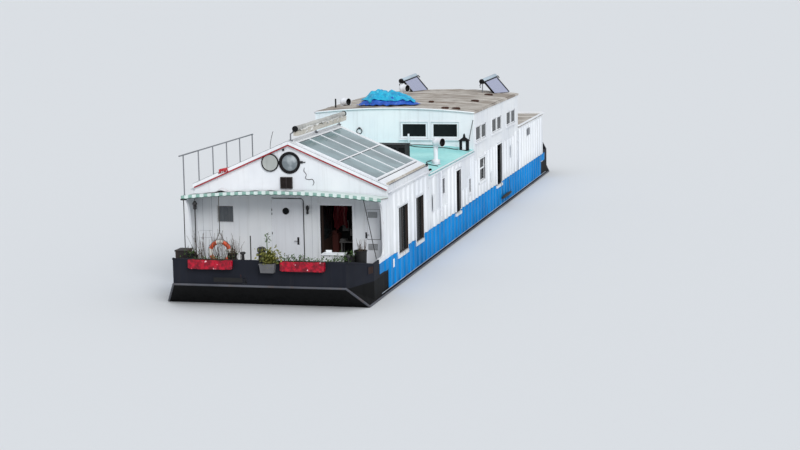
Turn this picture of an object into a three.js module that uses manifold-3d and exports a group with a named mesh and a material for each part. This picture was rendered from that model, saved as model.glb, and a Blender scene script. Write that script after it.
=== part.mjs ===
// A houseboat: a decked steel barge with raked ends, a ribbed house on it with a gabled
// front room, a flat roof deck and a raised cabin, and the doors and covers that swing.
// Millimetres, +Z up, +Y towards the far end, +X towards the right-hand side.
// The origin is the middle of the barge's flat bottom.

import * as THREE from 'three';
import { ConvexGeometry } from 'three/addons/geometries/ConvexGeometry.js';
import { mergeVertices } from 'three/addons/utils/BufferGeometryUtils.js';
import Module from 'manifold-3d';

const wasm = await Module();
wasm.setup();

// Driving dimensions
const GAP = 0.3; // between pieces that touch
const LENGTH = 34000; // barge, end to end
const HALF_BEAM = 3000; // barge and house
const DECK = 1300; // steel deck
const KNUCKLE = 1270; // where the raked ends start
const END = LENGTH / 2;
const END_HALF = 2550; // half width of the square-cut ends
const CORNER_RUN = 1350; // length of the cut corners
const RAKE_SLOPE = 0.72 / 0.84; // fall of the raked ends

const WALL = 90; // thickness of the house walls
const FORE = -13900; // outer face of the fore end wall
const AFT = 14600; // outer face of the aft end wall
const SIDE_TOP = 3400; // top of the lower side walls
const ROOM_TOP = 3560; // top of the gabled room's side walls
const ROOM_END = -8560; // far end of the gabled room
const CABIN_FORE = -1100; // outer faces of the raised cabin's end walls
const CABIN_AFT = 8100;
const CABIN_TOP = 4790; // cabin walls at the sides
const CAMBER = 160; // rise of the cabin roof
const RIDGE = 5065; // roof surface of the gabled room, at the ridge and at the eaves
const EAVES = 3760;
const ROOF_THICK = 100;
const DECK_PLATE = 60; // thickness of the roof decks
const DECK_CROWN = 180; // rise of the fore roof deck in its middle
const ROOF_PLATE = 60; // and of the cabin roof
// Blue ribbed band round the sides
const SKIRT = { foot: 780, step: 1340, top: 1650, fore: -15010, run: 1010 };

// Materials
const paint = (color, roughness = 0.55, metalness = 0.1) =>
  new THREE.MeshStandardMaterial({ color, roughness, metalness });
const white = paint(0xe4e7ee);
const navy = paint(0x20242e, 0.5, 0.3);
const turquoise = paint(0x98dedb);
const beige = paint(0xbdb3a3, 0.9);
const glass = paint(0x55636e, 0.1, 0.0);
const black = paint(0x15161a, 0.6, 0.1);
const red = paint(0xb81c3a, 0.6, 0.0);
const grey = paint(0x8b8f94, 0.6, 0.2);
const blue = paint(0x0570bd, 0.5, 0.1);
const orange = paint(0xe0502a, 0.6, 0.0);
const cloth = paint(0xcfe8de, 0.9, 0.0);
const blueCloth = paint(0x10a8cf, 0.8, 0.0);

const boat = new THREE.Group();

// Shapes
function toSolid(geometry) {
  const bare = geometry.clone();
  bare.deleteAttribute('normal');
  bare.deleteAttribute('uv');
  const merged = mergeVertices(bare, 1e-4);
  return new wasm.Manifold(new wasm.Mesh({
    numProp: 3,
    vertProperties: new Float32Array(merged.attributes.position.array),
    triVerts: new Uint32Array(merged.index.array),
  }));
}

function toGeometry(solid) {
  const mesh = solid.getMesh();
  const geometry = new THREE.BufferGeometry();
  geometry.setAttribute('position', new THREE.BufferAttribute(new Float32Array(mesh.vertProperties), 3));
  geometry.setIndex(new THREE.BufferAttribute(new Uint32Array(mesh.triVerts), 1));
  geometry.computeVertexNormals();
  return geometry;
}

function add(name, solid, material) {
  const mesh = new THREE.Mesh(toGeometry(solid), material);
  mesh.name = name;
  boat.add(mesh);
  return mesh;
}

// A block between two corners
function block(x0, x1, y0, y1, z0, z1) {
  const geometry = new THREE.BoxGeometry(x1 - x0, y1 - y0, z1 - z0);
  geometry.translate((x0 + x1) / 2, (y0 + y1) / 2, (z0 + z1) / 2);
  return toSolid(geometry);
}

function outline(points) {
  const shape = new THREE.Shape();
  points.forEach(([a, b], i) => (i ? shape.lineTo(a, b) : shape.moveTo(a, b)));
  shape.closePath();
  return shape;
}

// An outline in plan (x, y), carried from z0 up to z1
function upright(points, z0, z1) {
  const geometry = new THREE.ExtrudeGeometry(outline(points), { depth: z1 - z0, bevelEnabled: false });
  geometry.translate(0, 0, z0);
  return toSolid(geometry);
}

// An outline seen from the end (x, z), carried along Y from y0 to y1
function lengthwise(points, y0, y1, curveSegments = 12) {
  const shape = points instanceof THREE.Shape ? points : outline(points);
  const geometry = new THREE.ExtrudeGeometry(shape, { depth: y1 - y0, bevelEnabled: false, curveSegments });
  geometry.rotateX(Math.PI / 2);
  geometry.translate(0, y1, 0);
  return toSolid(geometry);
}

// An outline seen from the side (y, z), carried along X from x0 to x1
function crosswise(points, x0, x1, curveSegments = 12) {
  const shape = points instanceof THREE.Shape ? points : outline(points);
  const geometry = new THREE.ExtrudeGeometry(shape, { depth: x1 - x0, bevelEnabled: false, curveSegments });
  geometry.applyMatrix4(new THREE.Matrix4().set(0, 0, 1, x0, 1, 0, 0, 0, 0, 1, 0, 0, 0, 0, 0, 1));
  return toSolid(geometry);
}

// A round bar or disc: centre of its first face, direction, length and radii
function bar(from, to, radius, sides = 12, endRadius = radius) {
  const a = new THREE.Vector3(...from);
  const b = new THREE.Vector3(...to);
  const geometry = new THREE.CylinderGeometry(endRadius, radius, a.distanceTo(b), sides);
  const turn = new THREE.Quaternion().setFromUnitVectors(
    new THREE.Vector3(0, 1, 0), b.clone().sub(a).normalize());
  geometry.applyQuaternion(turn);
  geometry.translate((a.x + b.x) / 2, (a.y + b.y) / 2, (a.z + b.z) / 2);
  return toSolid(geometry);
}

const join = (solids) => solids.reduce((sum, next) => sum.add(next));
const cut = (solid, cutters) => cutters.reduce((rest, next) => rest.subtract(next), solid);

// Hull: side profile with raked ends, cut by the plan with its cut-off corners
const rakeRun = KNUCKLE / RAKE_SLOPE;
const corner = END - CORNER_RUN;
const hullPlan = [
  [-HALF_BEAM, -corner], [-END_HALF, -END], [END_HALF, -END], [HALF_BEAM, -corner],
  [HALF_BEAM, corner], [END_HALF, END], [-END_HALF, END], [-HALF_BEAM, corner],
];
const sideProfile = [
  [-END + rakeRun, 0], [END - rakeRun, 0], [END, KNUCKLE], [END, DECK], [-END, DECK], [-END, KNUCKLE],
];
// Below a crease the corner plates turn out to the full beam: a wedge in each corner
const CREASE = { y: END - 2000, z: 850, foot: 600 };
const wedge = toSolid(new ConvexGeometry([
  [END_HALF, END, KNUCKLE], [HALF_BEAM, END - (KNUCKLE - CREASE.foot) / RAKE_SLOPE, CREASE.foot],
  [HALF_BEAM, CREASE.y, CREASE.z],
  [HALF_BEAM, END - rakeRun, 0], [HALF_BEAM, CREASE.y, 0], [0, CREASE.y, 0], [0, END - rakeRun, 0],
  [0, END, KNUCKLE], [0, CREASE.y, CREASE.z],
].map((point) => new THREE.Vector3(...point))));
// Mushroom bollards on the end decks: [x, distance from amidships]
const BOLLARD = { radius: 70, cap: 120, height: 450, capHeight: 50 };
const bollards = [[-850, -15860], [1500, -15860], [-1500, 15860], [1500, 15860]].map(([x, y]) => join([
  bar([x, y, DECK - 20], [x, y, DECK + BOLLARD.height - BOLLARD.capHeight + 1], BOLLARD.radius, 14),
  bar([x, y, DECK + BOLLARD.height - BOLLARD.capHeight], [x, y, DECK + BOLLARD.height], BOLLARD.cap, 14),
]));
add('hull', join([
  upright(hullPlan, 0, DECK).intersect(crosswise(sideProfile, -HALF_BEAM, HALF_BEAM)),
  wedge, wedge.mirror([1, 0, 0]), wedge.mirror([0, 1, 0]), wedge.mirror([1, 0, 0]).mirror([0, 1, 0]),
  ...bollards,
]), navy);

// Bulwark: a steel wall round each end deck, higher at the very end
const BULWARK = { thick: 60, end: 1980, side: 1730, level: 100 };
const PORT = [-1280, -350]; // drain slot at the foot of the end plate
const PORT_TOP = 1500;
function bulwark(name, sign, wallFace) {
  const plan = (inset, run) => [[-HALF_BEAM + inset, wallFace], [-HALF_BEAM + inset, sign * (corner - run)],
    [-END_HALF + run, sign * (END - inset)], [END_HALF - run, sign * (END - inset)],
    [HALF_BEAM - inset, sign * (corner - run)], [HALF_BEAM - inset, wallFace]];
  const ring = [...plan(0, 0), ...plan(BULWARK.thick, BULWARK.thick / 3).reverse()];
  const profile = [[wallFace, DECK], [sign * END, DECK], [sign * END, BULWARK.end],
    [sign * (END - BULWARK.level), BULWARK.end], [sign * corner, BULWARK.side], [wallFace, BULWARK.side]];
  const slot = block(...PORT, END - 100, END + 5, DECK - 5, PORT_TOP);
  add(name, upright(ring, DECK + GAP, BULWARK.end)
    .intersect(crosswise(profile, -HALF_BEAM - GAP, HALF_BEAM + GAP))
    .subtract(sign > 0 ? slot : slot.mirror([0, 1, 0])), navy);
}
bulwark('bulwark_fore', -1, FORE - GAP);
bulwark('bulwark_aft', 1, AFT + GAP);

// Fore end wall: a gable wall with a window, a door, a doorway and a round window
const roofTop = (x) => RIDGE - ((RIDGE - EAVES) / HALF_BEAM) * Math.abs(x);
const roofUnder = (x) => roofTop(x) - ROOF_THICK;
const FASCIA = 100; // thickness of the roof's upright edge on the side walls
const inside = HALF_BEAM - FASCIA;
const foreWindow = [-2300, -1780, 2590, 3110];
const foreDoor = [-590, 400, DECK + 30, 3340];
const DOOR_ROUND = 110; // rounded top corners of the fore door
const entry = [920, 1910, DECK + 30, 3160];
const locker = [2290, 2830, DECK + 40, 3140];
const ROUND = { x: 20, z: 4415, radius: 285 };
const VENT = [-270, 100, 3650, 3990];
const through = ([x0, x1, z0, z1], y = FORE) => block(x0, x1, y - 50, y + WALL + 50, z0, z1);
// An upright leaf with rounded top corners
function roundTop([x0, x1, z0, z1], radius, y0, y1) {
  const shape = new THREE.Shape();
  shape.moveTo(x0, z0);
  shape.lineTo(x1, z0);
  shape.absarc(x1 - radius, z1 - radius, radius, 0, Math.PI / 2);
  shape.absarc(x0 + radius, z1 - radius, radius, Math.PI / 2, Math.PI);
  shape.closePath();
  return lengthwise(shape, y0, y1, 6);
}
const gableTop = [[inside - GAP, roofUnder(inside) - GAP], [0, roofUnder(0) - GAP],
  [-inside + GAP, roofUnder(inside) - GAP]];
const foreWall = [[-HALF_BEAM, DECK + GAP], [HALF_BEAM, DECK + GAP], [HALF_BEAM, ROOM_TOP],
  [inside - GAP, ROOM_TOP], ...gableTop, [-inside + GAP, ROOM_TOP], [-HALF_BEAM, ROOM_TOP]];
add('wall_fore', cut(lengthwise(foreWall, FORE, FORE + WALL), [
  through(foreWindow), through(entry), through(locker),
  roundTop(foreDoor, DOOR_ROUND, FORE - 50, FORE + WALL + 50),
  bar([ROUND.x, FORE - 50, ROUND.z], [ROUND.x, FORE + WALL + 50, ROUND.z], ROUND.radius, 32),
]), white);

// Ribs of the pressed steel sides: trapezoids in plan, one each pitch, [y0, y1, z0, z1] of each run
const RIB = { pitch: 590, start: -15675, flank: 50, face: 235, depth: 50 };
function ribs(y0, y1, z0, z1) {
  const count = Math.floor((y1 - RIB.start) / RIB.pitch) + 1;
  const run = Array.from({ length: count }, (_, i) => RIB.start + i * RIB.pitch)
    .filter((y) => y >= y0 && y + 2 * RIB.flank + RIB.face <= y1)
    .map((y) => upright([[HALF_BEAM - 5, y], [HALF_BEAM + GAP, y], [HALF_BEAM + RIB.depth, y + RIB.flank],
      [HALF_BEAM + RIB.depth, y + RIB.flank + RIB.face], [HALF_BEAM + GAP, y + 2 * RIB.flank + RIB.face],
      [HALF_BEAM - 5, y + 2 * RIB.flank + RIB.face]], z0, z1));
  return join(run);
}

// Side walls: openings [y0, y1, z0, z1], each with a flat surround, and flat sheets between the ribs
const sideWindow1 = [-12850, -11680, 1540, 2960];
const sideWindow2 = [-10580, -9560, 1540, 2950];
const sideDoorFore = [-4500, -3700, 1600, 3080];
const sideDoorAft = [3170, 4230, 1600, 3190];
const hopperWindow = [-300, 760, 2190, 3020];
const slimWindow = [-2320, -2030, 2050, 2540];
const leftWindow1 = [-12850, -11680, 1860, 2880];
const leftWindow2 = [-10580, -9560, 1860, 2880];
const SURROUND = 70;
const SILL = { drop: 100, reach: 60, side: 60 };
const RIB_FOOT = SKIRT.top + 20;
const around = ([y0, y1, z0, z1], margin) => [y0 - margin, y1 + margin, z0 - margin, z1 + margin];
const outside = ([y0, y1, z0, z1], reach) => block(HALF_BEAM - 1, HALF_BEAM + reach, y0, y1, z0, z1);
const RAIL_DROP = 45; // rail along the wall's top, and how far the ribs end below the top
const RIB_DROP = 60;
function sideWall(name, side, [y0, y1], openings, flats) {
  const gabled = y0 < ROOM_END;
  const wall = block(HALF_BEAM - WALL, HALF_BEAM, y0, y1, DECK + GAP, SIDE_TOP);
  const plain = [...openings.map((opening) => around(opening, SURROUND)), ...flats];
  const pressed = gabled
    ? [ribs(y0, ROOM_END, RIB_FOOT, ROOM_TOP - RIB_DROP), ribs(ROOM_END, y1, RIB_FOOT, SIDE_TOP - RIB_DROP)]
    : [ribs(y0, y1, RIB_FOOT, SIDE_TOP - RIB_DROP)];
  const ribbed = cut(join(pressed), plain.map((area) => outside(area, 100)));
  const surrounds = openings.map((opening) => outside(around(opening, SURROUND), RIB.depth - 15)
    .subtract(block(0, 2 * HALF_BEAM, -END, END, 0, RIB_FOOT)));
  const rail = (from, to, top) => outside([from, to, top - RAIL_DROP, top], RIB.depth + 10);
  const upper = gabled ? [block(inside, HALF_BEAM, y0, ROOM_END, SIDE_TOP - 1, ROOM_TOP),
    rail(y0, ROOM_END, ROOM_TOP), rail(ROOM_END, y1, SIDE_TOP)] : [];
  const solid = cut(join([wall, ribbed, ...surrounds, ...upper]),
    openings.map(([a, b, c, d]) => block(HALF_BEAM - WALL - 50, HALF_BEAM + 200, a, b, c, d)));
  const sills = openings.filter(([, , z0]) => z0 < SKIRT.top).map(([a, b, c]) =>
    block(HALF_BEAM - 1, HALF_BEAM + SILL.reach, a - SILL.side, b + SILL.side, c - SILL.drop, c));
  const whole = join([solid, ...sills]);
  add(name, side > 0 ? whole : whole.mirror([1, 0, 0]), white);
}
const foreRun = [FORE + WALL + GAP, CABIN_FORE - GAP];
const aftRun = [CABIN_FORE, AFT - WALL - GAP];
sideWall('wall_right_fore', 1, foreRun, [sideWindow1, sideWindow2, sideDoorFore, slimWindow],
  [[-7500, -5840, 2150, 3340], [-3500, -1850, 2250, 3340]]);
sideWall('wall_right_aft', 1, aftRun, [hopperWindow, sideDoorAft],
  [[CABIN_FORE, 600, 3050, 3360], [600, 7200, 3180, 3360]]);
sideWall('wall_left_fore', -1, foreRun, [leftWindow1, leftWindow2], []);
sideWall('wall_left_aft', -1, aftRun, [], [[CABIN_FORE, 7200, 3180, 3360]]);

// Skirt: the blue lower band of the same ribs, notched round the sills, higher in front of the house
function skirt(name, side, openings) {
  const plate = { x0: HALF_BEAM + GAP, x1: HALF_BEAM + 10 };
  const stepY = SKIRT.fore + SKIRT.run;
  const runs = [[stepY, -stepY, SKIRT.foot], [SKIRT.fore, stepY, SKIRT.step], [-stepY, -SKIRT.fore, SKIRT.step]];
  const long = join([
    ...runs.map(([y0, y1, z0]) => block(plate.x0, plate.x1, y0, y1, z0, SKIRT.top)),
    ...runs.map(([y0, y1, z0]) => ribs(y0, y1, z0, SKIRT.top)),
    block(plate.x0, HALF_BEAM + RIB.depth + 10, stepY, -stepY, SKIRT.foot - 20, SKIRT.foot)]);
  const notches = openings.filter(([, , z0]) => z0 < SKIRT.top).map(([a, b, c]) => block(HALF_BEAM - 10,
    HALF_BEAM + 200, a - SILL.side - GAP, b + SILL.side + GAP, c - SILL.drop - GAP, SKIRT.top + 10));
  const behind = block(HALF_BEAM - 100, HALF_BEAM + GAP, -END, END, 0, 3000);
  const whole = cut(long, [...notches, behind]);
  add(name, side > 0 ? whole : whole.mirror([1, 0, 0]), blue);
}
skirt('skirt_right', 1, [sideWindow1, sideWindow2, sideDoorFore, sideDoorAft]);
skirt('skirt_left', -1, []);

// Aft end wall
const aftDoor = [-450, 450, DECK + 30, 3300];
const aftWindow = [1200, 2300, 2200, 2900];
add('wall_aft', cut(block(-HALF_BEAM, HALF_BEAM, AFT - WALL, AFT, DECK + GAP, SIDE_TOP), [
  through(aftDoor, AFT - WALL), through(aftWindow, AFT - WALL),
]), white);

// Roof slopes of the gabled room, each with an upright edge that stands on the side wall
const OVERHANG = 80;
const SKYLIGHT = { x0: 200, x1: 2650, y0: FORE + 160, y1: FORE + 4950 };
const slope = lengthwise([[GAP, roofUnder(0)], [inside, roofUnder(inside)], [inside, ROOM_TOP + GAP],
  [HALF_BEAM, ROOM_TOP + GAP], [HALF_BEAM, roofTop(HALF_BEAM)], [GAP, RIDGE]], FORE - OVERHANG, ROOM_END)
  // The edge ends at the fore wall, so that the canopy passes under the overhang
  .subtract(block(inside - 5, HALF_BEAM + 5, FORE - OVERHANG - 5, FORE - GAP, ROOM_TOP - 10, EAVES - ROOF_THICK));
add('roof_left', slope.mirror([1, 0, 0]), white);
add('roof_right', slope.subtract(
  block(SKYLIGHT.x0, SKYLIGHT.x1, SKYLIGHT.y0, SKYLIGHT.y1, EAVES - 300, RIDGE + 100)), white);

// Far gable of the room, above the roof deck
add('gable_aft', lengthwise([[-inside + GAP, SIDE_TOP + GAP], [inside - GAP, SIDE_TOP + GAP], ...gableTop],
  ROOM_END - WALL, ROOM_END), white);

// Skylight: a frame with its glass on the right slope
const barWidth = 50;
const skylightBand = (x0, x1, low, high) => {
  const z = (x, h) => roofTop(x) + h;
  return [[x0, z(x0, low)], [x1, z(x1, low)], [x1, z(x1, high)], [x0, z(x0, high)]];
};
const frameParts = [
  lengthwise(skylightBand(SKYLIGHT.x0 - 60, SKYLIGHT.x0 + 30, 5, 60), SKYLIGHT.y0 - 60, SKYLIGHT.y1 + 60),
  lengthwise(skylightBand(SKYLIGHT.x1 - 30, SKYLIGHT.x1 + 60, 5, 60), SKYLIGHT.y0 - 60, SKYLIGHT.y1 + 60),
  lengthwise(skylightBand(1450, 1510, 5, 60), SKYLIGHT.y0 - 60, SKYLIGHT.y1 + 60),
  lengthwise(skylightBand(SKYLIGHT.x0 - 30, SKYLIGHT.x1 + 30, 5, 25), SKYLIGHT.y0 - 30, SKYLIGHT.y1 + 30),
];
const lanes = 4;
for (let i = 0; i <= lanes; i += 1) {
  const y = SKYLIGHT.y0 + ((SKYLIGHT.y1 - SKYLIGHT.y0) * i) / lanes;
  frameParts.push(lengthwise(skylightBand(SKYLIGHT.x0 - 60, SKYLIGHT.x1 + 60, 5, 60),
    y - barWidth / 2, y + barWidth / 2));
}
add('skylight', join(frameParts).translate(0, 0, -5 + GAP), glass);

// Awning cassette beside the ridge: a roll tube over a flat box, on cranked posts from the ridge
const AWNING = { x: 200, z: RIDGE + 350, y0: FORE + 20, y1: ROOM_END + 40, tube: 80, box: [130, 290, 210, 60] };
const [boxLeft, boxRight, boxDrop, boxTop] = AWNING.box;
const postRuns = [AWNING.y0 + 60, (AWNING.y0 + AWNING.y1) / 2, AWNING.y1 - 60];
add('awning_cassette', join([
  bar([AWNING.x, AWNING.y0, AWNING.z], [AWNING.x, AWNING.y1, AWNING.z], AWNING.tube, 16),
  block(boxLeft, boxRight, AWNING.y0 + 60, AWNING.y1 - 40, AWNING.z - boxDrop, AWNING.z - boxTop),
  ...postRuns.map((y) => lengthwise([[20, RIDGE - 60], [70, RIDGE - 60], [70, RIDGE + 180],
    [AWNING.x, AWNING.z - boxDrop + 60], [AWNING.x, AWNING.z], [AWNING.x - 60, AWNING.z], [20, RIDGE + 200]],
  y - 25, y + 25)),
]).subtract(lengthwise([[-200, RIDGE - 200], [300, RIDGE - 200], [300, roofTop(300) + GAP],
  [0, RIDGE + GAP], [-200, roofTop(200) + GAP]], AWNING.y0 - 100, AWNING.y1 + 100)), beige);

// Roof decks; the fore one is crowned, flat in the middle and round towards its edges
const deckTop = (x) => SIDE_TOP + DECK_PLATE + DECK_CROWN * (1 - (x / HALF_BEAM) ** 4);
const deckArc = (lift) => Array.from({ length: 17 }, (_, i) => {
  const x = HALF_BEAM * Math.cos((Math.PI * i) / 16);
  return [x, deckTop(x) + lift];
});
add('roof_deck_fore', lengthwise([[-HALF_BEAM, SIDE_TOP + GAP], [HALF_BEAM, SIDE_TOP + GAP], ...deckArc(0)],
  ROOM_END + GAP, CABIN_FORE - GAP).subtract(lengthwise([[-inside, SIDE_TOP - 10], [inside, SIDE_TOP - 10],
  ...deckArc(-DECK_PLATE).filter(([x]) => Math.abs(x) < inside)], ROOM_END, CABIN_FORE)), turquoise);
// What stands on the crowned deck starts a little lower and is cut to its surface
const deckBody = lengthwise([[-HALF_BEAM, SIDE_TOP - 300], [HALF_BEAM, SIDE_TOP - 300], ...deckArc(GAP)],
  ROOM_END, CABIN_FORE);
add('roof_deck_aft', block(-HALF_BEAM, HALF_BEAM, CABIN_AFT + GAP, AFT, SIDE_TOP + GAP,
  SIDE_TOP + DECK_PLATE), beige);

// Raised cabin
const crown = (x) => CABIN_TOP + CAMBER * (1 - (x / HALF_BEAM) ** 2);
const arch = (half, lift) => Array.from({ length: 13 }, (_, i) => {
  const x = half - (2 * half * i) / 12;
  return [x, crown(x) + lift];
});
const cabinWindow = [240, 2445, 3860, 4480];
const cabinAftWindow = [-900, 900, 3840, 4530];
const cabinEnd = (y) => lengthwise([[-HALF_BEAM, SIDE_TOP + GAP], [HALF_BEAM, SIDE_TOP + GAP],
  ...arch(HALF_BEAM, 0)], y, y + WALL);
add('cabin_wall_fore', cabinEnd(CABIN_FORE).subtract(through(cabinWindow, CABIN_FORE)), white);
add('cabin_wall_aft', cabinEnd(CABIN_AFT - WALL).subtract(through(cabinAftWindow, CABIN_AFT - WALL)), white);
const cabinPairs = [-850, 2300, 5380].map((y) => [y, y + 2000, 3730, 4285]);
const CABIN_POST = 90; // between the two windows of a pair
for (const side of [1, -1]) {
  const x0 = side > 0 ? HALF_BEAM - WALL : -HALF_BEAM;
  const wall = block(x0, x0 + WALL, CABIN_FORE + WALL + GAP, CABIN_AFT - WALL - GAP, SIDE_TOP + GAP, CABIN_TOP);
  const lights = cabinPairs.flatMap(([a, b, c, d]) => {
    const half = (b - a - CABIN_POST) / 2;
    return [block(x0 - 50, x0 + WALL + 50, a, a + half, c, d), block(x0 - 50, x0 + WALL + 50, b - half, b, c, d)];
  });
  add(side > 0 ? 'cabin_wall_right' : 'cabin_wall_left', cut(wall, lights), white);
}
const ROOF_EDGE = 40; // the cabin roof stands out past its walls
const roofArc = (lift) => [[HALF_BEAM + ROOF_EDGE, CABIN_TOP - 4 + lift], ...arch(HALF_BEAM, lift),
  [-HALF_BEAM - ROOF_EDGE, CABIN_TOP - 4 + lift]];
add('cabin_roof', lengthwise([...roofArc(GAP + ROOF_PLATE), ...roofArc(GAP).reverse()],
  CABIN_FORE - ROOF_EDGE, CABIN_AFT + ROOF_EDGE), beige);

// Doors: a leaf in its opening, clear all round, its hinge face proud of the wall,
// with three barrels round the hinge line that just clear the jamb
const CLEAR = 6;
const LEAF = 45;
const PROUD = 8;
const BARREL = { radius: Math.hypot(CLEAR, PROUD) - GAP, length: 120 };
function barrels(x, y, [z0, z1]) {
  return [0.1, 0.5, 0.9].map((share) => {
    const z = z0 + (z1 - z0) * share;
    return bar([x, y, z - BARREL.length / 2], [x, y, z + BARREL.length / 2], BARREL.radius);
  });
}
const inset = ([a, b, z0, z1]) => [a + CLEAR, b - CLEAR, z0 + CLEAR, z1 - CLEAR];
const innerFace = FORE + WALL + PROUD;
const sideInner = HALF_BEAM - WALL - PROUD;
const foreFace = FORE - PROUD;
const aftFace = AFT + PROUD;
const foreLeaf = inset(foreDoor);
const lockerLeaf = inset(locker);
const aftLeaf = inset(aftDoor);
const entryLeaf = inset(entry);
add('door_fore', join([roundTop(foreLeaf, DOOR_ROUND - CLEAR, foreFace, foreFace + LEAF),
  ...barrels(foreLeaf[0], foreFace, foreLeaf.slice(2))]), white);
add('door_locker', join([
  block(lockerLeaf[0], lockerLeaf[1], foreFace, foreFace + LEAF, ...lockerLeaf.slice(2)),
  ...barrels(lockerLeaf[1], foreFace, lockerLeaf.slice(2))]), white);
add('door_aft', join([block(aftLeaf[0], aftLeaf[1], aftFace - LEAF, aftFace, ...aftLeaf.slice(2)),
  ...barrels(aftLeaf[0], aftFace, aftLeaf.slice(2))]), white);
// These three stand open, turned inwards by a right angle
add('door_entry', join([block(entryLeaf[0], entryLeaf[0] + LEAF, innerFace,
  innerFace + entryLeaf[1] - entryLeaf[0], ...entryLeaf.slice(2)),
...barrels(entryLeaf[0], innerFace, entryLeaf.slice(2))]), white);
function sideDoor(name, opening) {
  const [y0, y1, z0, z1] = inset(opening);
  add(name, join([block(sideInner - (y1 - y0), sideInner, y0, y0 + LEAF, z0, z1),
    ...barrels(sideInner, y0, [z0, z1])]), white);
}
sideDoor('door_side_fore', sideDoorFore);
sideDoor('door_side_aft', sideDoorAft);

// Round window: a proud ring with its pane, and its cover swung open beside it
const RING = { proud: 40, outer: 310, cover: 270, swing: 300 };
const ringY = FORE - RING.proud;
add('round_window', join([
  cut(bar([ROUND.x, ringY, ROUND.z], [ROUND.x, FORE - GAP, ROUND.z], RING.outer, 32), [
    bar([ROUND.x, ringY - 5, ROUND.z], [ROUND.x, FORE + 5, ROUND.z], ROUND.radius - 30, 32)]),
  cut(bar([ROUND.x, FORE - 1, ROUND.z], [ROUND.x, FORE + 50, ROUND.z], ROUND.radius - GAP, 32), [
    bar([ROUND.x, FORE - 5, ROUND.z], [ROUND.x, FORE + 25, ROUND.z], ROUND.radius - 30, 32)]),
]), black);
const hingeX = ROUND.x - RING.swing;
const COVER = { x: hingeX - RING.swing, y: ringY - 12, thick: 30, glass: 235, hinge: 80 };
add('round_window_cover', join([
  cut(bar([COVER.x, COVER.y, ROUND.z], [COVER.x, COVER.y + COVER.thick, ROUND.z], RING.cover, 32), [
    bar([COVER.x, COVER.y - 5, ROUND.z], [COVER.x, COVER.y + 18, ROUND.z], COVER.glass, 32)]),
  block(COVER.x + COVER.glass, hingeX, COVER.y, COVER.y + 8,
    ROUND.z - COVER.hinge / 2, ROUND.z + COVER.hinge / 2),
  bar([hingeX, COVER.y, ROUND.z - COVER.hinge / 2], [hingeX, COVER.y, ROUND.z + COVER.hinge / 2], 12 - GAP),
]), glass);

// Vent box on the gable
add('vent_box', block(VENT[0], VENT[1], FORE - 60, FORE - GAP, VENT[2], VENT[3]), grey);

// Canopy over the fore deck: an arched sheet that rises forward, with a hanging valance,
// and the curved cheeks below its ends
const CANOPY = { depth: 1000, half: 3050, back: 3600, rise: 85, arch: 170, thick: 50, valance: 140, hem: 14 };
const canopyTilt = -Math.atan(CANOPY.rise / CANOPY.depth) * (180 / Math.PI);
function canopyBand(low, high, y0, y1) {
  const arc = (lift) => Array.from({ length: 13 }, (_, i) => {
    const share = 1 - i / 6;
    return [CANOPY.half * share, CANOPY.back - CANOPY.arch * share ** 2 + lift];
  });
  return lengthwise([...arc(high), ...arc(low).reverse()], y0, y1)
    .translate(0, 0, -CANOPY.back).rotate([canopyTilt, 0, 0]).translate(0, FORE, CANOPY.back);
}
const aheadOfWall = block(-4000, 4000, FORE - GAP, FORE + 200, 3000, 4000);
add('canopy_fore', canopyBand(-CANOPY.thick, 0, -CANOPY.depth, 20)
  .add(canopyBand(-CANOPY.valance, 0, -CANOPY.depth - CANOPY.hem, -CANOPY.depth + 1))
  .subtract(aheadOfWall), cloth);
const underCanopy = canopyBand(-CANOPY.valance - 200, 400, -CANOPY.depth - 400, 100)
  .subtract(canopyBand(-CANOPY.valance - 300, -CANOPY.thick - GAP, -CANOPY.depth + 20, 200));
// A cheek sweeps forward at its head, under the canopy, and at its foot, on the bulwark
const CHEEK = { waist: FORE - 480, head: FORE - 900, toe: FORE - 1100, foot: BULWARK.side + GAP, x: [2930, 2990] };
const cheek = new THREE.Shape();
cheek.moveTo(FORE - GAP, CHEEK.foot);
cheek.lineTo(FORE - GAP, CANOPY.back);
cheek.lineTo(CHEEK.head, CANOPY.back);
cheek.lineTo(CHEEK.head, 3400);
cheek.quadraticCurveTo(CHEEK.waist - 170, 3290, CHEEK.waist - 110, 3000);
cheek.quadraticCurveTo(CHEEK.waist - 20, 2600, CHEEK.waist, 2150);
cheek.quadraticCurveTo(CHEEK.waist, 1900, CHEEK.waist - 80, 1830);
cheek.quadraticCurveTo(CHEEK.waist - 160, 1770, CHEEK.toe, 1760);
cheek.lineTo(CHEEK.toe, CHEEK.foot);
cheek.closePath();
const wing = crosswise(cheek, ...CHEEK.x, 6).subtract(underCanopy);
add('wing_right', wing, white);
add('wing_left', wing.mirror([1, 0, 0]), white);

// Window panes with their frames
const FRAME = 45;
const pane = ([x0, x1, z0, z1], y, bars = []) => {
  const frame = block(x0 + GAP, x1 - GAP, y + 15, y + 75, z0 + GAP, z1 - GAP);
  const light = block(x0 + FRAME, x1 - FRAME, y - 5, y + 40, z0 + FRAME, z1 - FRAME);
  const posts = bars.map((x) => block(x - FRAME / 2, x + FRAME / 2, y + 15, y + 75, z0 + 10, z1 - 10));
  return join([frame.subtract(light), ...posts]);
};
// The same in the right side wall, or mirrored into the left one
const sidePane = (opening, side) => {
  const right = pane(opening, 0).rotate([0, 0, 90]).translate(HALF_BEAM, 0, 0);
  return side > 0 ? right : right.mirror([1, 0, 0]);
};
add('pane_fore', pane(foreWindow, FORE), glass);
add('pane_cabin_fore', pane(cabinWindow, CABIN_FORE, [(cabinWindow[0] + cabinWindow[1]) / 2]), glass);
[sideWindow1, sideWindow2].forEach((opening, i) => add(`pane_right_${i + 1}`, sidePane(opening, 1), glass));
[leftWindow1, leftWindow2].forEach((opening, i) => add(`pane_left_${i + 1}`, sidePane(opening, -1), glass));
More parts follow.
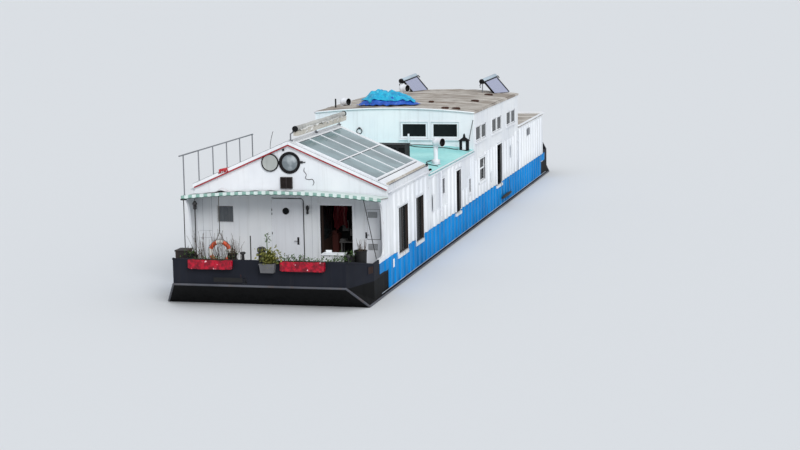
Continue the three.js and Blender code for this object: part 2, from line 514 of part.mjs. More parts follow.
// One long strip of glass behind each row of cabin windows
for (const side of [1, -1]) {
  const x0 = side > 0 ? HALF_BEAM - WALL - GAP - 12 : -HALF_BEAM + WALL + GAP;
  add(side > 0 ? 'pane_cabin_right' : 'pane_cabin_left', block(x0, x0 + 12,
    cabinPairs[0][0] - 60, cabinPairs[2][1] + 60, cabinPairs[0][2] - 50, cabinPairs[0][3] + 60), glass);
}
add('pane_cabin_aft', pane(cabinAftWindow, CABIN_AFT - WALL, [0]), glass);

// Handrail along the left eaves, its first post on the canopy
const RAIL = { x: -2978, z: 4715, pitch: 1260, count: 6, from: FORE - 890, radius: 21 };
const roofLevel = roofTop(-RAIL.x - RAIL.radius) + GAP;
const railFeet = Array.from({ length: RAIL.count }, (_, i) => RAIL.from + i * RAIL.pitch);
add('handrail_left', join([
  bar([RAIL.x, RAIL.from - 340, RAIL.z], [RAIL.x, railFeet[RAIL.count - 1] + 60, RAIL.z], RAIL.radius, 10),
  ...railFeet.map((y, i) => bar([RAIL.x, y, i ? roofLevel : 3480], [RAIL.x, y, RAIL.z], RAIL.radius, 10)),
]).subtract(canopyBand(-CANOPY.valance, GAP, -CANOPY.depth, 20)), grey);

// Deck box behind the gable, with its lid
const BOX = { x0: 1000, x1: 2050, y0: -7850, y1: -7150, z0: SIDE_TOP + DECK_PLATE, top: 4330, wall: 30 };
const lidFoot = BOX.top - BOX.wall + CLEAR;
add('deck_box', block(BOX.x0, BOX.x1, BOX.y0, BOX.y1, BOX.z0, BOX.top - BOX.wall)
  .subtract(deckBody).subtract(block(BOX.x0 + BOX.wall, BOX.x1 - BOX.wall, BOX.y0 + BOX.wall, BOX.y1 - BOX.wall,
    deckTop(BOX.x0) + BOX.wall, BOX.top)), black);
add('deck_box_lid', block(BOX.x0 - 20, BOX.x1 + 20, BOX.y0 - 20, BOX.y1 + PROUD, lidFoot, BOX.top)
  .add(bar([BOX.x0, BOX.y1 + PROUD, lidFoot], [BOX.x1, BOX.y1 + PROUD, lidFoot], BARREL.radius)), black);

// What stands on the cambered cabin roof starts a little lower and is cut to its surface
const roofBody = lengthwise([[-HALF_BEAM, CABIN_TOP - 1500], [HALF_BEAM, CABIN_TOP - 1500],
  ...arch(HALF_BEAM, ROOF_PLATE + 2 * GAP)], CABIN_FORE - ROOF_EDGE, CABIN_AFT + ROOF_EDGE);
// Cowl vents: a pipe with a round hood that looks to the side; height is to the hood's middle
const hoodBall = new THREE.SphereGeometry(1, 20, 12);
function cowl(name, [x, y, z], height, radius, turn, body) {
  const ball = toSolid(hoodBall).scale(radius * 1.06).translate(radius * 0.3, 0, height);
  add(name, join([
    bar([0, 0, -150], [0, 0, height], radius / 2, 14), ball,
    bar([radius * 0.3, 0, height], [radius * 2.2, 0, height], radius, 20),
  ]).rotate([0, 0, turn]).translate(x, y, z).subtract(body), white);
}
const onRoof = (x) => crown(x) + ROOF_PLATE;
cowl('cowl_deck', [2715, -6200, deckTop(2715)], 750, 145, -16, deckBody);
cowl('cowl_roof_left', [-2480, 850, onRoof(2480)], 165, 140, -16, roofBody);
cowl('cowl_roof_mid', [-1150, 4900, onRoof(1150)], 310, 145, -16, roofBody);

// Solar water heaters: a tank along the upper edge of a panel that slopes down to the right.
// The origin is the tank's near end; the rack stands askew and not quite level
const HEATER = { length: 1360, tank: 92, run: 560, drop: 640, margin: 120, tilt: 7, turn: -15.5 };
const LEG = 20;
function heater(name, [x, y, z]) {
  const { length, tank, run, drop, margin } = HEATER;
  const rack = join([
    bar([0, 0, 0], [0, length, 0], tank, 18),
    lengthwise([[0, -tank + 30], [60, -tank + 60], [run + 60, -drop + 60], [run, -drop]], margin, length - margin),
  ]).rotate([HEATER.tilt, 0, 0]).rotate([0, 0, HEATER.turn]).translate(x, y, z);
  const turn = THREE.MathUtils.degToRad(HEATER.turn);
  const tilt = THREE.MathUtils.degToRad(HEATER.tilt);
  const legs = [margin, length - margin].map((along) => {
    const foot = [x - Math.sin(turn) * along, y + Math.cos(turn) * along];
    return bar([...foot, crown(foot[0]) - 100], [...foot, z + Math.sin(tilt) * along], LEG, 10);
  });
  add(name, join([rack, ...legs]).subtract(roofBody), grey);
}
heater('heater_left', [-1640, 6650, 5455]);
heater('heater_right', [1750, 6650, 5430]);

// Covered heap on the cabin roof
const heap = new THREE.SphereGeometry(1, 20, 10);
heap.scale(1150, 620, 520);
heap.translate(-450, -150, onRoof(0) - 40);
add('roof_heap', toSolid(heap).subtract(roofBody), blueCloth);

// Lifebuoy on a rope below the canopy's edge, flower boxes and planter on the bulwark
const BUOY = { x: -1900, y: FORE - 940, z: 1850, radius: 300, tube: 62, rope: 9 };
const ring = new THREE.TorusGeometry(BUOY.radius, BUOY.tube, 10, 28);
ring.rotateX(Math.PI / 2);
add('lifebuoy', join([
  toSolid(ring).translate(BUOY.x, BUOY.y, BUOY.z),
  bar([BUOY.x, BUOY.y, BUOY.z + BUOY.radius], [BUOY.x, BUOY.y, CANOPY.back], BUOY.rope, 8),
]).subtract(underCanopy), orange);
const boxY = -END - GAP;
add('flower_box_left', block(-2075, -698, boxY - 200, boxY, 1725, 2050), red);
add('flower_box_right', block(654, 2009, boxY - 200, boxY, 1715, 2050), red);
add('planter', block(80, 554, boxY - 220, boxY, 1690, 1950), grey);

export default boat;
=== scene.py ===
# %% [markdown]
# # A houseboat, finished in Blender
# The boat is a decked steel barge with a ribbed house on it. Its working model is already built:
# hull, walls, roofs and doors stand at their real size, and every door turns on its own hinge.
# This lesson dresses that model. Each step first says what the piece is on the real boat and why
# it is made the way it is. All sizes are metres, +X is the boat's right-hand side, +Y runs from
# the gabled end to the far end, and +Z is up.

# %% Load the working model
import math

import bpy
import numpy as np
from mathutils import Matrix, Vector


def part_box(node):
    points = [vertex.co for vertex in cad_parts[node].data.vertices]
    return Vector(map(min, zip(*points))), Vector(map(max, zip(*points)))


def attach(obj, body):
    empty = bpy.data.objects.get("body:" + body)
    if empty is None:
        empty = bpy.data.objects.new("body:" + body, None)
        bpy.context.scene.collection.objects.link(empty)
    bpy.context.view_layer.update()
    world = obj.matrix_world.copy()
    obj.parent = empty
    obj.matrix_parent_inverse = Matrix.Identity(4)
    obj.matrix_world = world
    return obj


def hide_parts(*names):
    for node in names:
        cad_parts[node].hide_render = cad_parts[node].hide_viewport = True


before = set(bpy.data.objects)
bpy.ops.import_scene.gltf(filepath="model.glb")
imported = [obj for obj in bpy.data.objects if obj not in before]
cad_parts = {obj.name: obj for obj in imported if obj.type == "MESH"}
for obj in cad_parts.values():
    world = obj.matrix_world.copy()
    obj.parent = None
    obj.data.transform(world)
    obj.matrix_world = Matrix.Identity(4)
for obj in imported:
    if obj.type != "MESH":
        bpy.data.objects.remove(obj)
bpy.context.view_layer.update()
BODY = "boat"

# %% [markdown]
# ## The camera and the floor
# The photograph was taken from a high bank, with a long lens, looking a little down along the
# boat. The camera's place and turn come from the directions of the boat's own straight edges.
# The boat floats, so the pale studio floor lies at its waterline and hides what is under water.
# The floor is very wide, because the camera looks far across it.

# %% Camera
PHOTO_WIDTH = 800
FOCAL_PIXELS = 1700
SENSOR = 36.0
CAMERA_PLACE = (15.258, -61.657, 9.983)
YAW, PITCH, ROLL = (math.radians(angle) for angle in (13.999, 8.514, 1.0215))
WATER = 0.6


def camera_axes():
    """The camera's right, up and back directions, from its yaw, pitch and roll."""
    forward = np.array([-math.sin(YAW) * math.cos(PITCH), math.cos(YAW) * math.cos(PITCH), -math.sin(PITCH)])
    level = np.array([math.cos(YAW), math.sin(YAW), 0.0])
    down = np.cross(forward, level)
    right = math.cos(ROLL) * level + math.sin(ROLL) * down
    lower = math.cos(ROLL) * down - math.sin(ROLL) * level
    return right, -lower, -forward


camera = bpy.data.objects.new("camera", bpy.data.cameras.new("camera"))
bpy.context.scene.collection.objects.link(camera)
camera.data.sensor_width = SENSOR
camera.data.lens = SENSOR * FOCAL_PIXELS / PHOTO_WIDTH
camera.data.clip_end = 5000
turned = np.eye(4)
turned[:3, :3] = np.array(camera_axes()).T
turned[:3, 3] = CAMERA_PLACE
camera.matrix_world = Matrix(turned.tolist())
bpy.context.scene.camera = camera
print("lens", camera.data.lens, "mm")

# %% [markdown]
# ## Meshes from arrays
# Every new piece is a surface worked out with numpy. A shape here is a pair: an array of points
# and an array of faces with four corners each. Small functions make a block, a tube or a turned
# form, others move and join shapes, and one puts the result into Blender as a piece that rides
# on a body of the model.

# %% Shapes
def grid_faces(rows, columns, close_rows=False, close_columns=False):
    """Four-cornered faces between the neighbours of a rows by columns grid of points."""
    r = np.arange(rows if close_rows else rows - 1)[:, None]
    c = np.arange(columns if close_columns else columns - 1)[None, :]
    here, right = r * columns + c, r * columns + (c + 1) % columns
    below, across = ((r + 1) % rows) * columns + c, ((r + 1) % rows) * columns + (c + 1) % columns
    return np.stack([here, right, across, below], -1).reshape(-1, 4)


def woven(points, **closed):
    """The surface over a grid of points, given as rows by columns by three."""
    return points.reshape(-1, 3), grid_faces(*points.shape[:2], **closed)


def joined(shapes):
    """One shape from several, each one's faces counted on from the points before it."""
    sizes = np.cumsum([0] + [len(points) for points, _ in shapes])
    return (np.concatenate([points for points, _ in shapes]),
            np.concatenate([faces + start for (_, faces), start in zip(shapes, sizes)]))


def moved(shape, offset):
    return shape[0] + np.asarray(offset, float), shape[1]


def mirrored(shape, axis=0):
    """The shape mirrored in the plane across one axis, its faces turned outwards again."""
    points = shape[0].copy()
    points[:, axis] *= -1
    return points, shape[1][:, ::-1]


def spun(shape, axis, degrees, centre=(0, 0, 0)):
    """The shape turned about a line through centre along X, Y or Z (0, 1, 2)."""
    angle = math.radians(degrees)
    a, b = [(1, 2), (2, 0), (0, 1)][axis]
    points = shape[0] - np.asarray(centre, float)
    turned_points = points.copy()
    turned_points[:, a] = points[:, a] * math.cos(angle) - points[:, b] * math.sin(angle)
    turned_points[:, b] = points[:, a] * math.sin(angle) + points[:, b] * math.cos(angle)
    return turned_points + np.asarray(centre, float), shape[1]


def blocks(table):
    """Blocks from rows of x0, x1, y0, y1, z0, z1: eight corners and six faces each."""
    table = np.asarray(table, float).reshape(-1, 6)
    pick = np.array([[i, j, k] for k in (0, 1) for j in (0, 1) for i in (0, 1)])
    points = np.stack([table[:, [0, 1]][:, pick[:, 0]], table[:, [2, 3]][:, pick[:, 1]],
                       table[:, [4, 5]][:, pick[:, 2]]], -1).reshape(-1, 3)
    corners = np.array([[0, 2, 3, 1], [4, 5, 7, 6], [0, 1, 5, 4], [2, 6, 7, 3], [0, 4, 6, 2], [1, 3, 7, 5]])
    faces = (corners[None] + 8 * np.arange(len(table))[:, None, None]).reshape(-1, 4)
    return points, faces


def capped(points, rows, columns):
    """A tube of rows rings with columns points each, its two ends closed by shrinking to the middle."""
    rings = points.reshape(rows, columns, 3)
    first, last = rings[0].mean(0), rings[-1].mean(0)
    whole = np.concatenate([np.repeat(first[None, None], columns, 1), rings,
                            np.repeat(last[None, None], columns, 1)])
    return whole.reshape(-1, 3), grid_faces(rows + 2, columns, close_columns=True)


def tube(path, radius, sides=10, up=(0, 0, 1)):
    """A round tube along a path. At each point the ring stands square to the path's direction,
    turned by the up direction; the radius is one number or one for each point."""
    path = np.asarray(path, float)
    along = np.gradient(path, axis=0)
    along /= np.linalg.norm(along, axis=1, keepdims=True)
    side = np.cross(along, np.asarray(up, float))
    side /= np.maximum(np.linalg.norm(side, axis=1, keepdims=True), 1e-9)
    over = np.cross(side, along)
    angle = np.linspace(0, 2 * math.pi, sides, endpoint=False)
    size = np.broadcast_to(np.asarray(radius, float), (len(path),))[:, None, None]
    rings = path[:, None] + size * (np.cos(angle)[None, :, None] * side[:, None]
                                    + np.sin(angle)[None, :, None] * over[:, None])
    return capped(rings.reshape(-1, 3), len(path), sides)


def rod(start, end, radius, sides=10):
    """A straight round bar between two points."""
    start, end = np.asarray(start, float), np.asarray(end, float)
    steep = abs((end - start)[2]) > 0.9 * np.linalg.norm(end - start)
    return tube([start, end], radius, sides, (1, 0, 0) if steep else (0, 0, 1))


def turned_form(profile, centre, axis=2, sides=32):
    """A profile of radius and height turned round a line through centre along X, Y or Z."""
    profile = np.asarray(profile, float)
    angle = np.linspace(0, 2 * math.pi, sides, endpoint=False)
    flat = np.zeros((len(profile), sides, 3))
    a, b = [(1, 2), (2, 0), (0, 1)][axis]
    flat[..., a] = profile[:, :1] * np.cos(angle)
    flat[..., b] = profile[:, :1] * np.sin(angle)
    flat[..., axis] = profile[:, 1:]
    return flat.reshape(-1, 3) + np.asarray(centre, float), grid_faces(len(profile), sides,
                                                                       close_columns=True)[:, ::-1]


def disc(radius, low, high, centre, axis=2, sides=32):
    """A round plate between two heights along an axis."""
    return turned_form([(0, low), (radius, low), (radius, high), (0, high)], centre, axis, sides)


MERGE = 1e-6
# The material of each finish. The loaded model has materials too, and two of them share a name
# with a finish, so a finish is looked up here.
FINISHES = {}


def piece(name, shape, finish, body=BODY, smooth=False, replaces=(), bevel=0.0):
    """Puts a shape, or a list of shapes, into Blender as one piece. Repeated points are merged,
    faces that shrank to nothing go, and the piece rides on its body. The finish is given by its
    name."""
    points, faces = joined(shape) if isinstance(shape, list) else shape
    _, first, back = np.unique(np.round(points / MERGE).astype(np.int64), axis=0,
                               return_index=True, return_inverse=True)
    faces = back.reshape(-1)[faces]
    wide = [list(dict.fromkeys(face)) for face in faces.tolist()]
    mesh = bpy.data.meshes.new(name)
    mesh.from_pydata(points[first].tolist(), [], [face for face in wide if len(face) > 2])
    mesh.validate()
    made = bpy.data.objects.new(name, mesh)
    bpy.context.scene.collection.objects.link(made)
    mesh.materials.append(FINISHES[finish])
    mesh.polygons.foreach_set("use_smooth", np.full(len(mesh.polygons), smooth))
    if bevel:
        rounding = made.modifiers.new("edges", "BEVEL")
        rounding.width, rounding.segments, rounding.limit_method = bevel, 2, "ANGLE"
    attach(made, body)
    if replaces:
        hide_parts(*replaces)
    print(f"{name}: {len(mesh.vertices)} points, {len(mesh.polygons)} faces")
    return made

# %% [markdown]
# ## Shader maths as expressions
# A material is a small calculation. Written as nodes it is long, so a value on its way through
# the material is wrapped in a class with the usual signs: an expression such as 1 - mask * 0.5
# then adds its own Math nodes. Any other node comes from one method.

# %% Shader helpers
class Number:
    """A number inside a material. Arithmetic on it adds Math nodes."""

    def __init__(self, finish, socket):
        self.finish, self.socket = finish, socket

    def maths(self, operation, *values):
        return self.finish.node("ShaderNodeMath", {"operation": operation}, *values)

    def __add__(self, other):
        return self.maths("ADD", self, other)

    def __sub__(self, other):
        return self.maths("SUBTRACT", self, other)

    def __rsub__(self, other):
        return self.maths("SUBTRACT", other, self)

    def __mul__(self, other):
        return self.maths("MULTIPLY", self, other)

    def __truediv__(self, other):
        return self.maths("DIVIDE", self, other)

    __radd__, __rmul__ = __add__, __mul__

    def within(self, low, high):
        """0 below low, 1 above high and smooth between them."""
        return self.finish.node("ShaderNodeMapRange", {"interpolation_type": "SMOOTHSTEP"}, self, low, high)

    def clipped(self):
        return self.maths("MINIMUM", self.maths("MAXIMUM", self, 0.0), 1.0)


class Finish:
    """A material in the making, with its Principled shader."""

    def __init__(self, name, **constants):
        self.material = FINISHES[name] = bpy.data.materials.new(name)
        self.material.use_nodes = True
        self.tree = self.material.node_tree
        self.shader = self.tree.nodes["Principled BSDF"]
        self.place = self.node("ShaderNodeTexCoord", {}, out="Object")
        for socket, value in constants.items():
            self.shader.inputs[socket.replace("_", " ")].default_value = value

    def feed(self, socket, value):
        if isinstance(value, Number):
            self.tree.links.new(value.socket, socket)
        elif value is not None:
            socket.default_value = (*value, 1.0) if socket.type == "RGBA" and len(value) == 3 else value

    def node(self, kind, settings, *values, out=0, **named):
        """Adds one node: its settings first, then its inputs by order or by name."""
        made = self.tree.nodes.new(kind)
        for setting, value in settings.items():
            setattr(made, setting, value)
        for socket, value in zip(made.inputs, values):
            self.feed(socket, value)
        for socket, value in named.items():
            self.feed(made.inputs[socket.replace("_", " ")], value)
        return Number(self, made.outputs[out])

    def axes(self):
        split = self.node("ShaderNodeSeparateXYZ", {}, self.place)
        return [Number(self, output) for output in split.socket.node.outputs]

    def stretched(self, scale):
        return self.node("ShaderNodeMapping", {}, self.place, Scale=scale)

    def noise(self, scale, detail=4.0, roughness=0.55, place=None):
        return self.node("ShaderNodeTexNoise", {}, Vector=place or self.place, Scale=scale, Detail=detail,
                         Roughness=roughness)

    def mix(self, factor, first, second):
        """A colour between two colours."""
        made = self.node("ShaderNodeMix", {"data_type": "RGBA"}, factor)
        mixer = made.socket.node
        self.feed(mixer.inputs[6], first)
        self.feed(mixer.inputs[7], second)
        return Number(self, mixer.outputs[2])

    def colour(self, value):
        self.feed(self.shader.inputs["Base Color"], value)
        return self

    def rough(self, value):
        self.feed(self.shader.inputs["Roughness"], value)
        return self

    def bump(self, height, distance, strength=1.0):
        made = self.node("ShaderNodeBump", {}, Strength=strength, Distance=distance, Height=height)
        self.feed(self.shader.inputs["Normal"], made)
        return self


def srgb(red, green, blue):
    """A colour as a screen shows it, turned into the linear one that a material needs."""
    value = np.array([red, green, blue], float)
    return tuple(np.where(value <= 0.04045, value / 12.92, ((value + 0.055) / 1.055) ** 2.4).tolist())


print("helpers ready")

# %% [markdown]
# ## Paints
# The house is pressed steel under many coats of white. Rain draws grey streaks down it, rust
# shows at the feet of the ribs, and each coat hides the last unevenly, so the white is never one
# colour. The same recipe, with other colours, serves the blue skirt and the black hull: a base
# colour, a broad patchy change, fine streaks that run down, and rust where water stands. Every
# painted finish is a row of one table. A row ends with the slot that the finish usually belongs to.

# %% Weathered paint
RUST = srgb(0.42, 0.22, 0.12)
# Near black for the inner faces of the walls: painted shade, seen in the reveals of the openings
ROOM_SHADE = srgb(0.09, 0.09, 0.09)
# Near black for the hull under its knuckle: painted shade of the plates that face down to the water
UNDERCUT_SHADE = srgb(0.035, 0.037, 0.042)
HOUSE_HALF = 3.0


def weathered(name, base, patch, streak, rust_level, grime, roughness, slot, foot=None, shell=None,
              below=None, gloss=0.4):
    """Paint = base, mixed with patch by a broad noise, darkened by a noise stretched along Z,
    and with rust where a coarse noise peaks. Near foot, a height, the dirt grows. Behind the
    shell, an axis and the place of the outer face along it, the paint is a near black: painted
    shade for the inner faces and the reveals of the openings. Under a height the colour given with
    it in below takes over; the hull uses it for painted shade under its knuckle. Base, patch and
    streak are colours as a screen shows them."""
    base, patch, streak = (srgb(*colour) for colour in (base, patch, streak))
    paint = Finish(name, Specular_IOR_Level=gloss)
    broad = paint.noise(0.55, 3.0)
    runs = paint.noise(1.0, 5.0, 0.6, paint.stretched((7.0, 7.0, 0.45)))
    fine = paint.noise(38.0, 3.0)
    x, y, height = paint.axes()
    dirt = runs.within(0.48, 0.78) * grime
    if foot is not None:
        dirt = (dirt + (1 - height.within(foot, foot + 0.55)) * runs.within(0.3, 0.7) * 0.5).clipped()
    body = paint.mix(broad.within(0.35, 0.7), base, patch)
    body = paint.mix(dirt, body, streak)
    spots = paint.noise(2.6, 6.0, 0.7, paint.stretched((1.0, 1.0, 0.5)))
    if rust_level:
        body = paint.mix(spots.within(0.7 - 0.1 * rust_level, 0.78) * rust_level, body, RUST)
    # Under the given height another colour takes over; on the hull this is painted shade
    if below:
        body = paint.mix(height.within(below[0] - 0.01, below[0]), below[1], body)
    # Inside the outer face the colour is the painted shade of the room
    if shell:
        axis, face = shell
        across = (x, y)[axis]
        outer = across.maths("ABSOLUTE", across).within(abs(face) - 0.006, abs(face) - 0.002)
        if axis == 1:
            corner = x.maths("ABSOLUTE", x).within(HOUSE_HALF - 0.005, HOUSE_HALF - 0.001)
            outer = outer.maths("MAXIMUM", outer, corner)
        body = paint.mix(outer, ROOM_SHADE, body)
    paint.colour(body).rough(roughness + broad * 0.15 + dirt * 0.3)
    paint.bump(fine * 0.5 + runs * 0.5, 0.0012, 0.35)


# Each paint: base, patch, streak, share of rust, share of grime, roughness and slot
WHITE = ((0.92, 0.93, 0.94), (0.87, 0.885, 0.905), (0.66, 0.66, 0.65))
PAINTS = {
    "white_paint": (*WHITE, 0.35, 0.4, 0.42, "white_cladding"),
    "side_white": (*WHITE, 0.35, 0.4, 0.42, "white_cladding"),
    "blue_paint": ((0.0, 0.53, 0.82), (0.0, 0.47, 0.75), (0.02, 0.34, 0.54), 0.25, 0.4, 0.45,
                   "blue_cladding"),
    "hull_paint": ((0.125, 0.135, 0.17), (0.095, 0.105, 0.135), (0.19, 0.185, 0.19), 0.55, 0.35, 0.6,
                   "hull_steel"),
    "deck_paint": ((0.58, 0.84, 0.84), (0.67, 0.89, 0.88), (0.4, 0.62, 0.63), 0.15, 0.45, 0.6, "deck_paint"),
    "black_paint": ((0.05, 0.052, 0.057), (0.08, 0.08, 0.085), (0.18, 0.18, 0.18), 0.1, 0.25, 0.55,
                    "black_trim"),
    "door_paint": ((0.91, 0.92, 0.94), (0.88, 0.89, 0.91), (0.7, 0.7, 0.71), 0.1, 0.22, 0.35, "door_white"),
    "cream_metal": ((0.82, 0.8, 0.76), (0.76, 0.74, 0.69), (0.5, 0.47, 0.42), 0.12, 0.45, 0.5,
                    "awning_metal"),
    "galvanised": ((0.5, 0.51, 0.53), (0.42, 0.43, 0.45), (0.3, 0.29, 0.29), 0.3, 0.45, 0.5, "rail_steel"),
    # Dark brown for the open entry leaf: painted shade of the dim doorway
    "dark_wood": ((0.2, 0.13, 0.1), (0.15, 0.1, 0.08), (0.09, 0.07, 0.06), 0, 0.5, 0.5, "door_white"),
    "green_hem": ((0.1, 0.33, 0.28), (0.13, 0.38, 0.32), (0.08, 0.2, 0.18), 0, 0.35, 0.45, "striped_canvas"),
    "frame_white": ((0.93, 0.94, 0.95), (0.89, 0.9, 0.92), (0.7, 0.7, 0.69), 0, 0.35, 0.3, "white_cladding"),
    "rubber": ((0.05, 0.05, 0.055), (0.08, 0.08, 0.085), (0.16, 0.16, 0.16), 0, 0.3, 0.6, "black_trim"),
    "curtain": ((0.72, 0.74, 0.74), (0.62, 0.65, 0.67), (0.42, 0.44, 0.46), 0, 0.5, 0.9, "white_cladding"),
    # Mid grey for the fore window's pane: a painted reflection
    "grey_pane": ((0.34, 0.36, 0.38), (0.28, 0.29, 0.31), (0.46, 0.48, 0.49), 0, 0.5, 0.2, "window"),
    # Dark brown for the sashes and reveals of the side openings: painted shade
    "sash_shade_brown": ((0.19, 0.15, 0.13), (0.13, 0.11, 0.1), (0.3, 0.25, 0.21), 0.3, 0.5, 0.6, "black_trim"),
    "roll_cloth": ((0.74, 0.74, 0.72), (0.63, 0.63, 0.62), (0.44, 0.44, 0.43), 0, 0.5, 0.8, "awning_metal"),
    "loose_white": ((0.88, 0.88, 0.87), (0.74, 0.74, 0.73), (0.5, 0.49, 0.48), 0, 0.6, 0.8, "awning_metal"),
    "pale_disc": ((0.74, 0.75, 0.73), (0.62, 0.64, 0.63), (0.4, 0.41, 0.4), 0.1, 0.6, 0.3, "window"),
    "brown_black": ((0.2, 0.16, 0.15), (0.15, 0.13, 0.13), (0.3, 0.24, 0.2), 0.5, 0.5, 0.55, "grille"),
    "tank_paint": ((0.7, 0.76, 0.8), (0.62, 0.68, 0.73), (0.45, 0.5, 0.54), 0.1, 0.3, 0.3, "heater_panel"),
    "steel_dark": ((0.11, 0.11, 0.12), (0.16, 0.16, 0.17), (0.3, 0.26, 0.23), 0.25, 0.3, 0.35, "black_trim"),
    "vent_grey": ((0.72, 0.73, 0.74), (0.6, 0.61, 0.62), (0.4, 0.4, 0.4), 0.1, 0.5, 0.5, "grille"),
    "rope_grey": ((0.27, 0.26, 0.25), (0.34, 0.33, 0.31), (0.2, 0.19, 0.18), 0, 0.5, 0.9, "black_trim"),
    "earth": ((0.16, 0.12, 0.09), (0.22, 0.17, 0.13), (0.1, 0.08, 0.06), 0, 0.5, 0.95, "planter_grey"),
    "stone": ((0.42, 0.42, 0.43), (0.34, 0.34, 0.35), (0.24, 0.24, 0.24), 0.1, 0.5, 0.8, "planter_grey"),
    "bar_grey": ((0.36, 0.37, 0.4), (0.27, 0.28, 0.31), (0.4, 0.32, 0.26), 0.5, 0.5, 0.5, "hull_steel"),
    "deep_red": ((0.66, 0.14, 0.17), (0.55, 0.1, 0.13), (0.36, 0.14, 0.14), 0.1, 0.4, 0.5, "white_cladding"),
    "seam_grey": ((0.74, 0.75, 0.77), (0.68, 0.69, 0.71), (0.4, 0.4, 0.4), 0.1, 0.5, 0.6, "white_cladding"),
    "hose_black": ((0.1, 0.11, 0.11), (0.16, 0.17, 0.17), (0.25, 0.25, 0.24), 0, 0.4, 0.5, "black_trim"),
    "mat_brown": ((0.24, 0.15, 0.12), (0.32, 0.22, 0.17), (0.14, 0.1, 0.08), 0.3, 0.5, 0.9, "roof_felt"),
    "floor_boards": ((0.6, 0.56, 0.52), (0.48, 0.44, 0.4), (0.3, 0.27, 0.24), 0, 0.5, 0.6, "planter_grey"),
    "chest_wood": ((0.36, 0.16, 0.13), (0.26, 0.11, 0.1), (0.12, 0.08, 0.07), 0, 0.5, 0.6, "planter_red"),
    "pale_things": ((0.62, 0.62, 0.61), (0.46, 0.45, 0.45), (0.25, 0.24, 0.24), 0, 0.6, 0.6,
                    "white_cladding"),
    "red_weave": ((0.46, 0.1, 0.14), (0.28, 0.09, 0.11), (0.78, 0.62, 0.6), 0, 0.8, 0.85, "planter_red"),
    "rust_brown": ((0.2, 0.13, 0.11), (0.14, 0.1, 0.09), (0.09, 0.07, 0.07), 0.5, 0.6, 0.9, "hull_steel"),
    "stained": ((0.85, 0.84, 0.82), (0.76, 0.73, 0.68), (0.5, 0.43, 0.36), 0.5, 0.8, 0.7, "white_cladding"),
    "pale_line_grey": ((0.66, 0.7, 0.74), (0.52, 0.56, 0.6), (0.35, 0.28, 0.22), 0.6, 0.6, 0.45, "hull_steel"),
    "dust_cloth": ((0.88, 0.88, 0.89), (0.8, 0.8, 0.82), (0.62, 0.61, 0.6), 0, 0.4, 0.85, "striped_canvas"),
    "tie_red": ((0.78, 0.16, 0.2), (0.66, 0.1, 0.15), (0.4, 0.1, 0.1), 0, 0.35, 0.45, "white_cladding"),
}
EXTRAS = {
    # The side walls' inner faces get the painted shade of the room
    "side_white": {"foot": 1.62, "shell": (0, HOUSE_HALF)},
    "blue_paint": {"foot": 0.78, "gloss": 0.15},
    # Under the knuckle the hull is coloured near black as painted shade
    "hull_paint": {"foot": 0.62, "below": (1.262, UNDERCUT_SHADE), "gloss": 0.12},
    "black_paint": {"gloss": 0.2},
}
for name, look in PAINTS.items():
    weathered(name, *look, **EXTRAS.get(name, {}))
# The outer faces of the walls that stand across the boat; behind them the paint is painted shade
END_FACES = {"wall_fore": -13.9, "wall_aft": 14.6, "cabin_wall_fore": -1.1, "cabin_wall_aft": 8.1}
for i, face in enumerate(END_FACES.values()):
    weathered(f"end_white_{i + 1}", *WHITE, 0.15, 0.26, 0.42, "white_cladding", shell=(1, face))
print("paints", len(FINISHES))

# %% [markdown]
# ## The flat roofs
# The raised cabin's roof is covered with wavy mineral sheets and mats, bleached to grey-beige
# with brown patches. From the bank it shows as pale waves across the boat; the dark of their
# hollows is painted shade.

# %% Weathered roofing
def roofing():
    """Beige = two noises stretched across the boat: the hollows of one darkened as painted shade, the other
    browns wear.
    """
    felt = Finish("roofing")
    waves = felt.noise(1.0, 4.0, 0.6, felt.stretched((0.5, 1.6, 1.0)))
    patches = felt.noise(1.3, 6.0, 0.7)
    grains = felt.noise(60.0, 2.0)
    # Darker beige in the hollows of the waves: painted shade
    tone = felt.mix(waves.within(0.35, 0.65), srgb(0.56, 0.52, 0.48), srgb(0.78, 0.76, 0.73))
    worn = felt.noise(1.0, 5.0, 0.65, felt.stretched((0.9, 5.0, 1.0)))
    tone = felt.mix(worn.within(0.55, 0.66) * 0.7, tone, srgb(0.38, 0.32, 0.28))
    tone = felt.mix(patches.within(0.56, 0.7) * 0.7, tone, srgb(0.45, 0.35, 0.28))
    tone = felt.mix(grains.within(0.5, 0.7) * 0.3, tone, srgb(0.36, 0.33, 0.3))
    felt.colour(tone).rough(0.85)
    felt.bump(waves + grains * 0.2, 0.03, 0.6)


roofing()

# %% [markdown]
# ## Glass, cloth and the rest
# Window glass is nearly black from outside, because the rooms are dark, with a soft reflection.
# The skylight is pale: it reflects the overcast sky. Both are plain glossy surfaces, which
# look right from every side and survive the export.

# %% Glass
# The glass is opaque: its near black is painted shade of the dark rooms, its lighter noise a painted
# reflection
glass = Finish("window_glass", Roughness=0.15, Specular_IOR_Level=0.04)
glass.colour(glass.mix(glass.noise(1.1, 2.0), srgb(0.05, 0.06, 0.065), srgb(0.15, 0.17, 0.175)))
# The skylight's pale, cloudy colour is a painted reflection of the overcast sky
pale = Finish("skylight_glass", Roughness=0.12, Specular_IOR_Level=0.3)
sky_reflection = pale.noise(0.9, 3.0, place=pale.stretched((1.0, 0.6, 1.0)))
pale.colour(pale.mix(sky_reflection.within(0.35, 0.65), srgb(0.36, 0.45, 0.47), srgb(0.5, 0.6, 0.62)))
print("finishes", len(FINISHES))

# %% [markdown]
# ## The model's own pieces
# Where a solid of the model already has the right shape, it stays and only gets its paint. Its
# mesh is never touched.

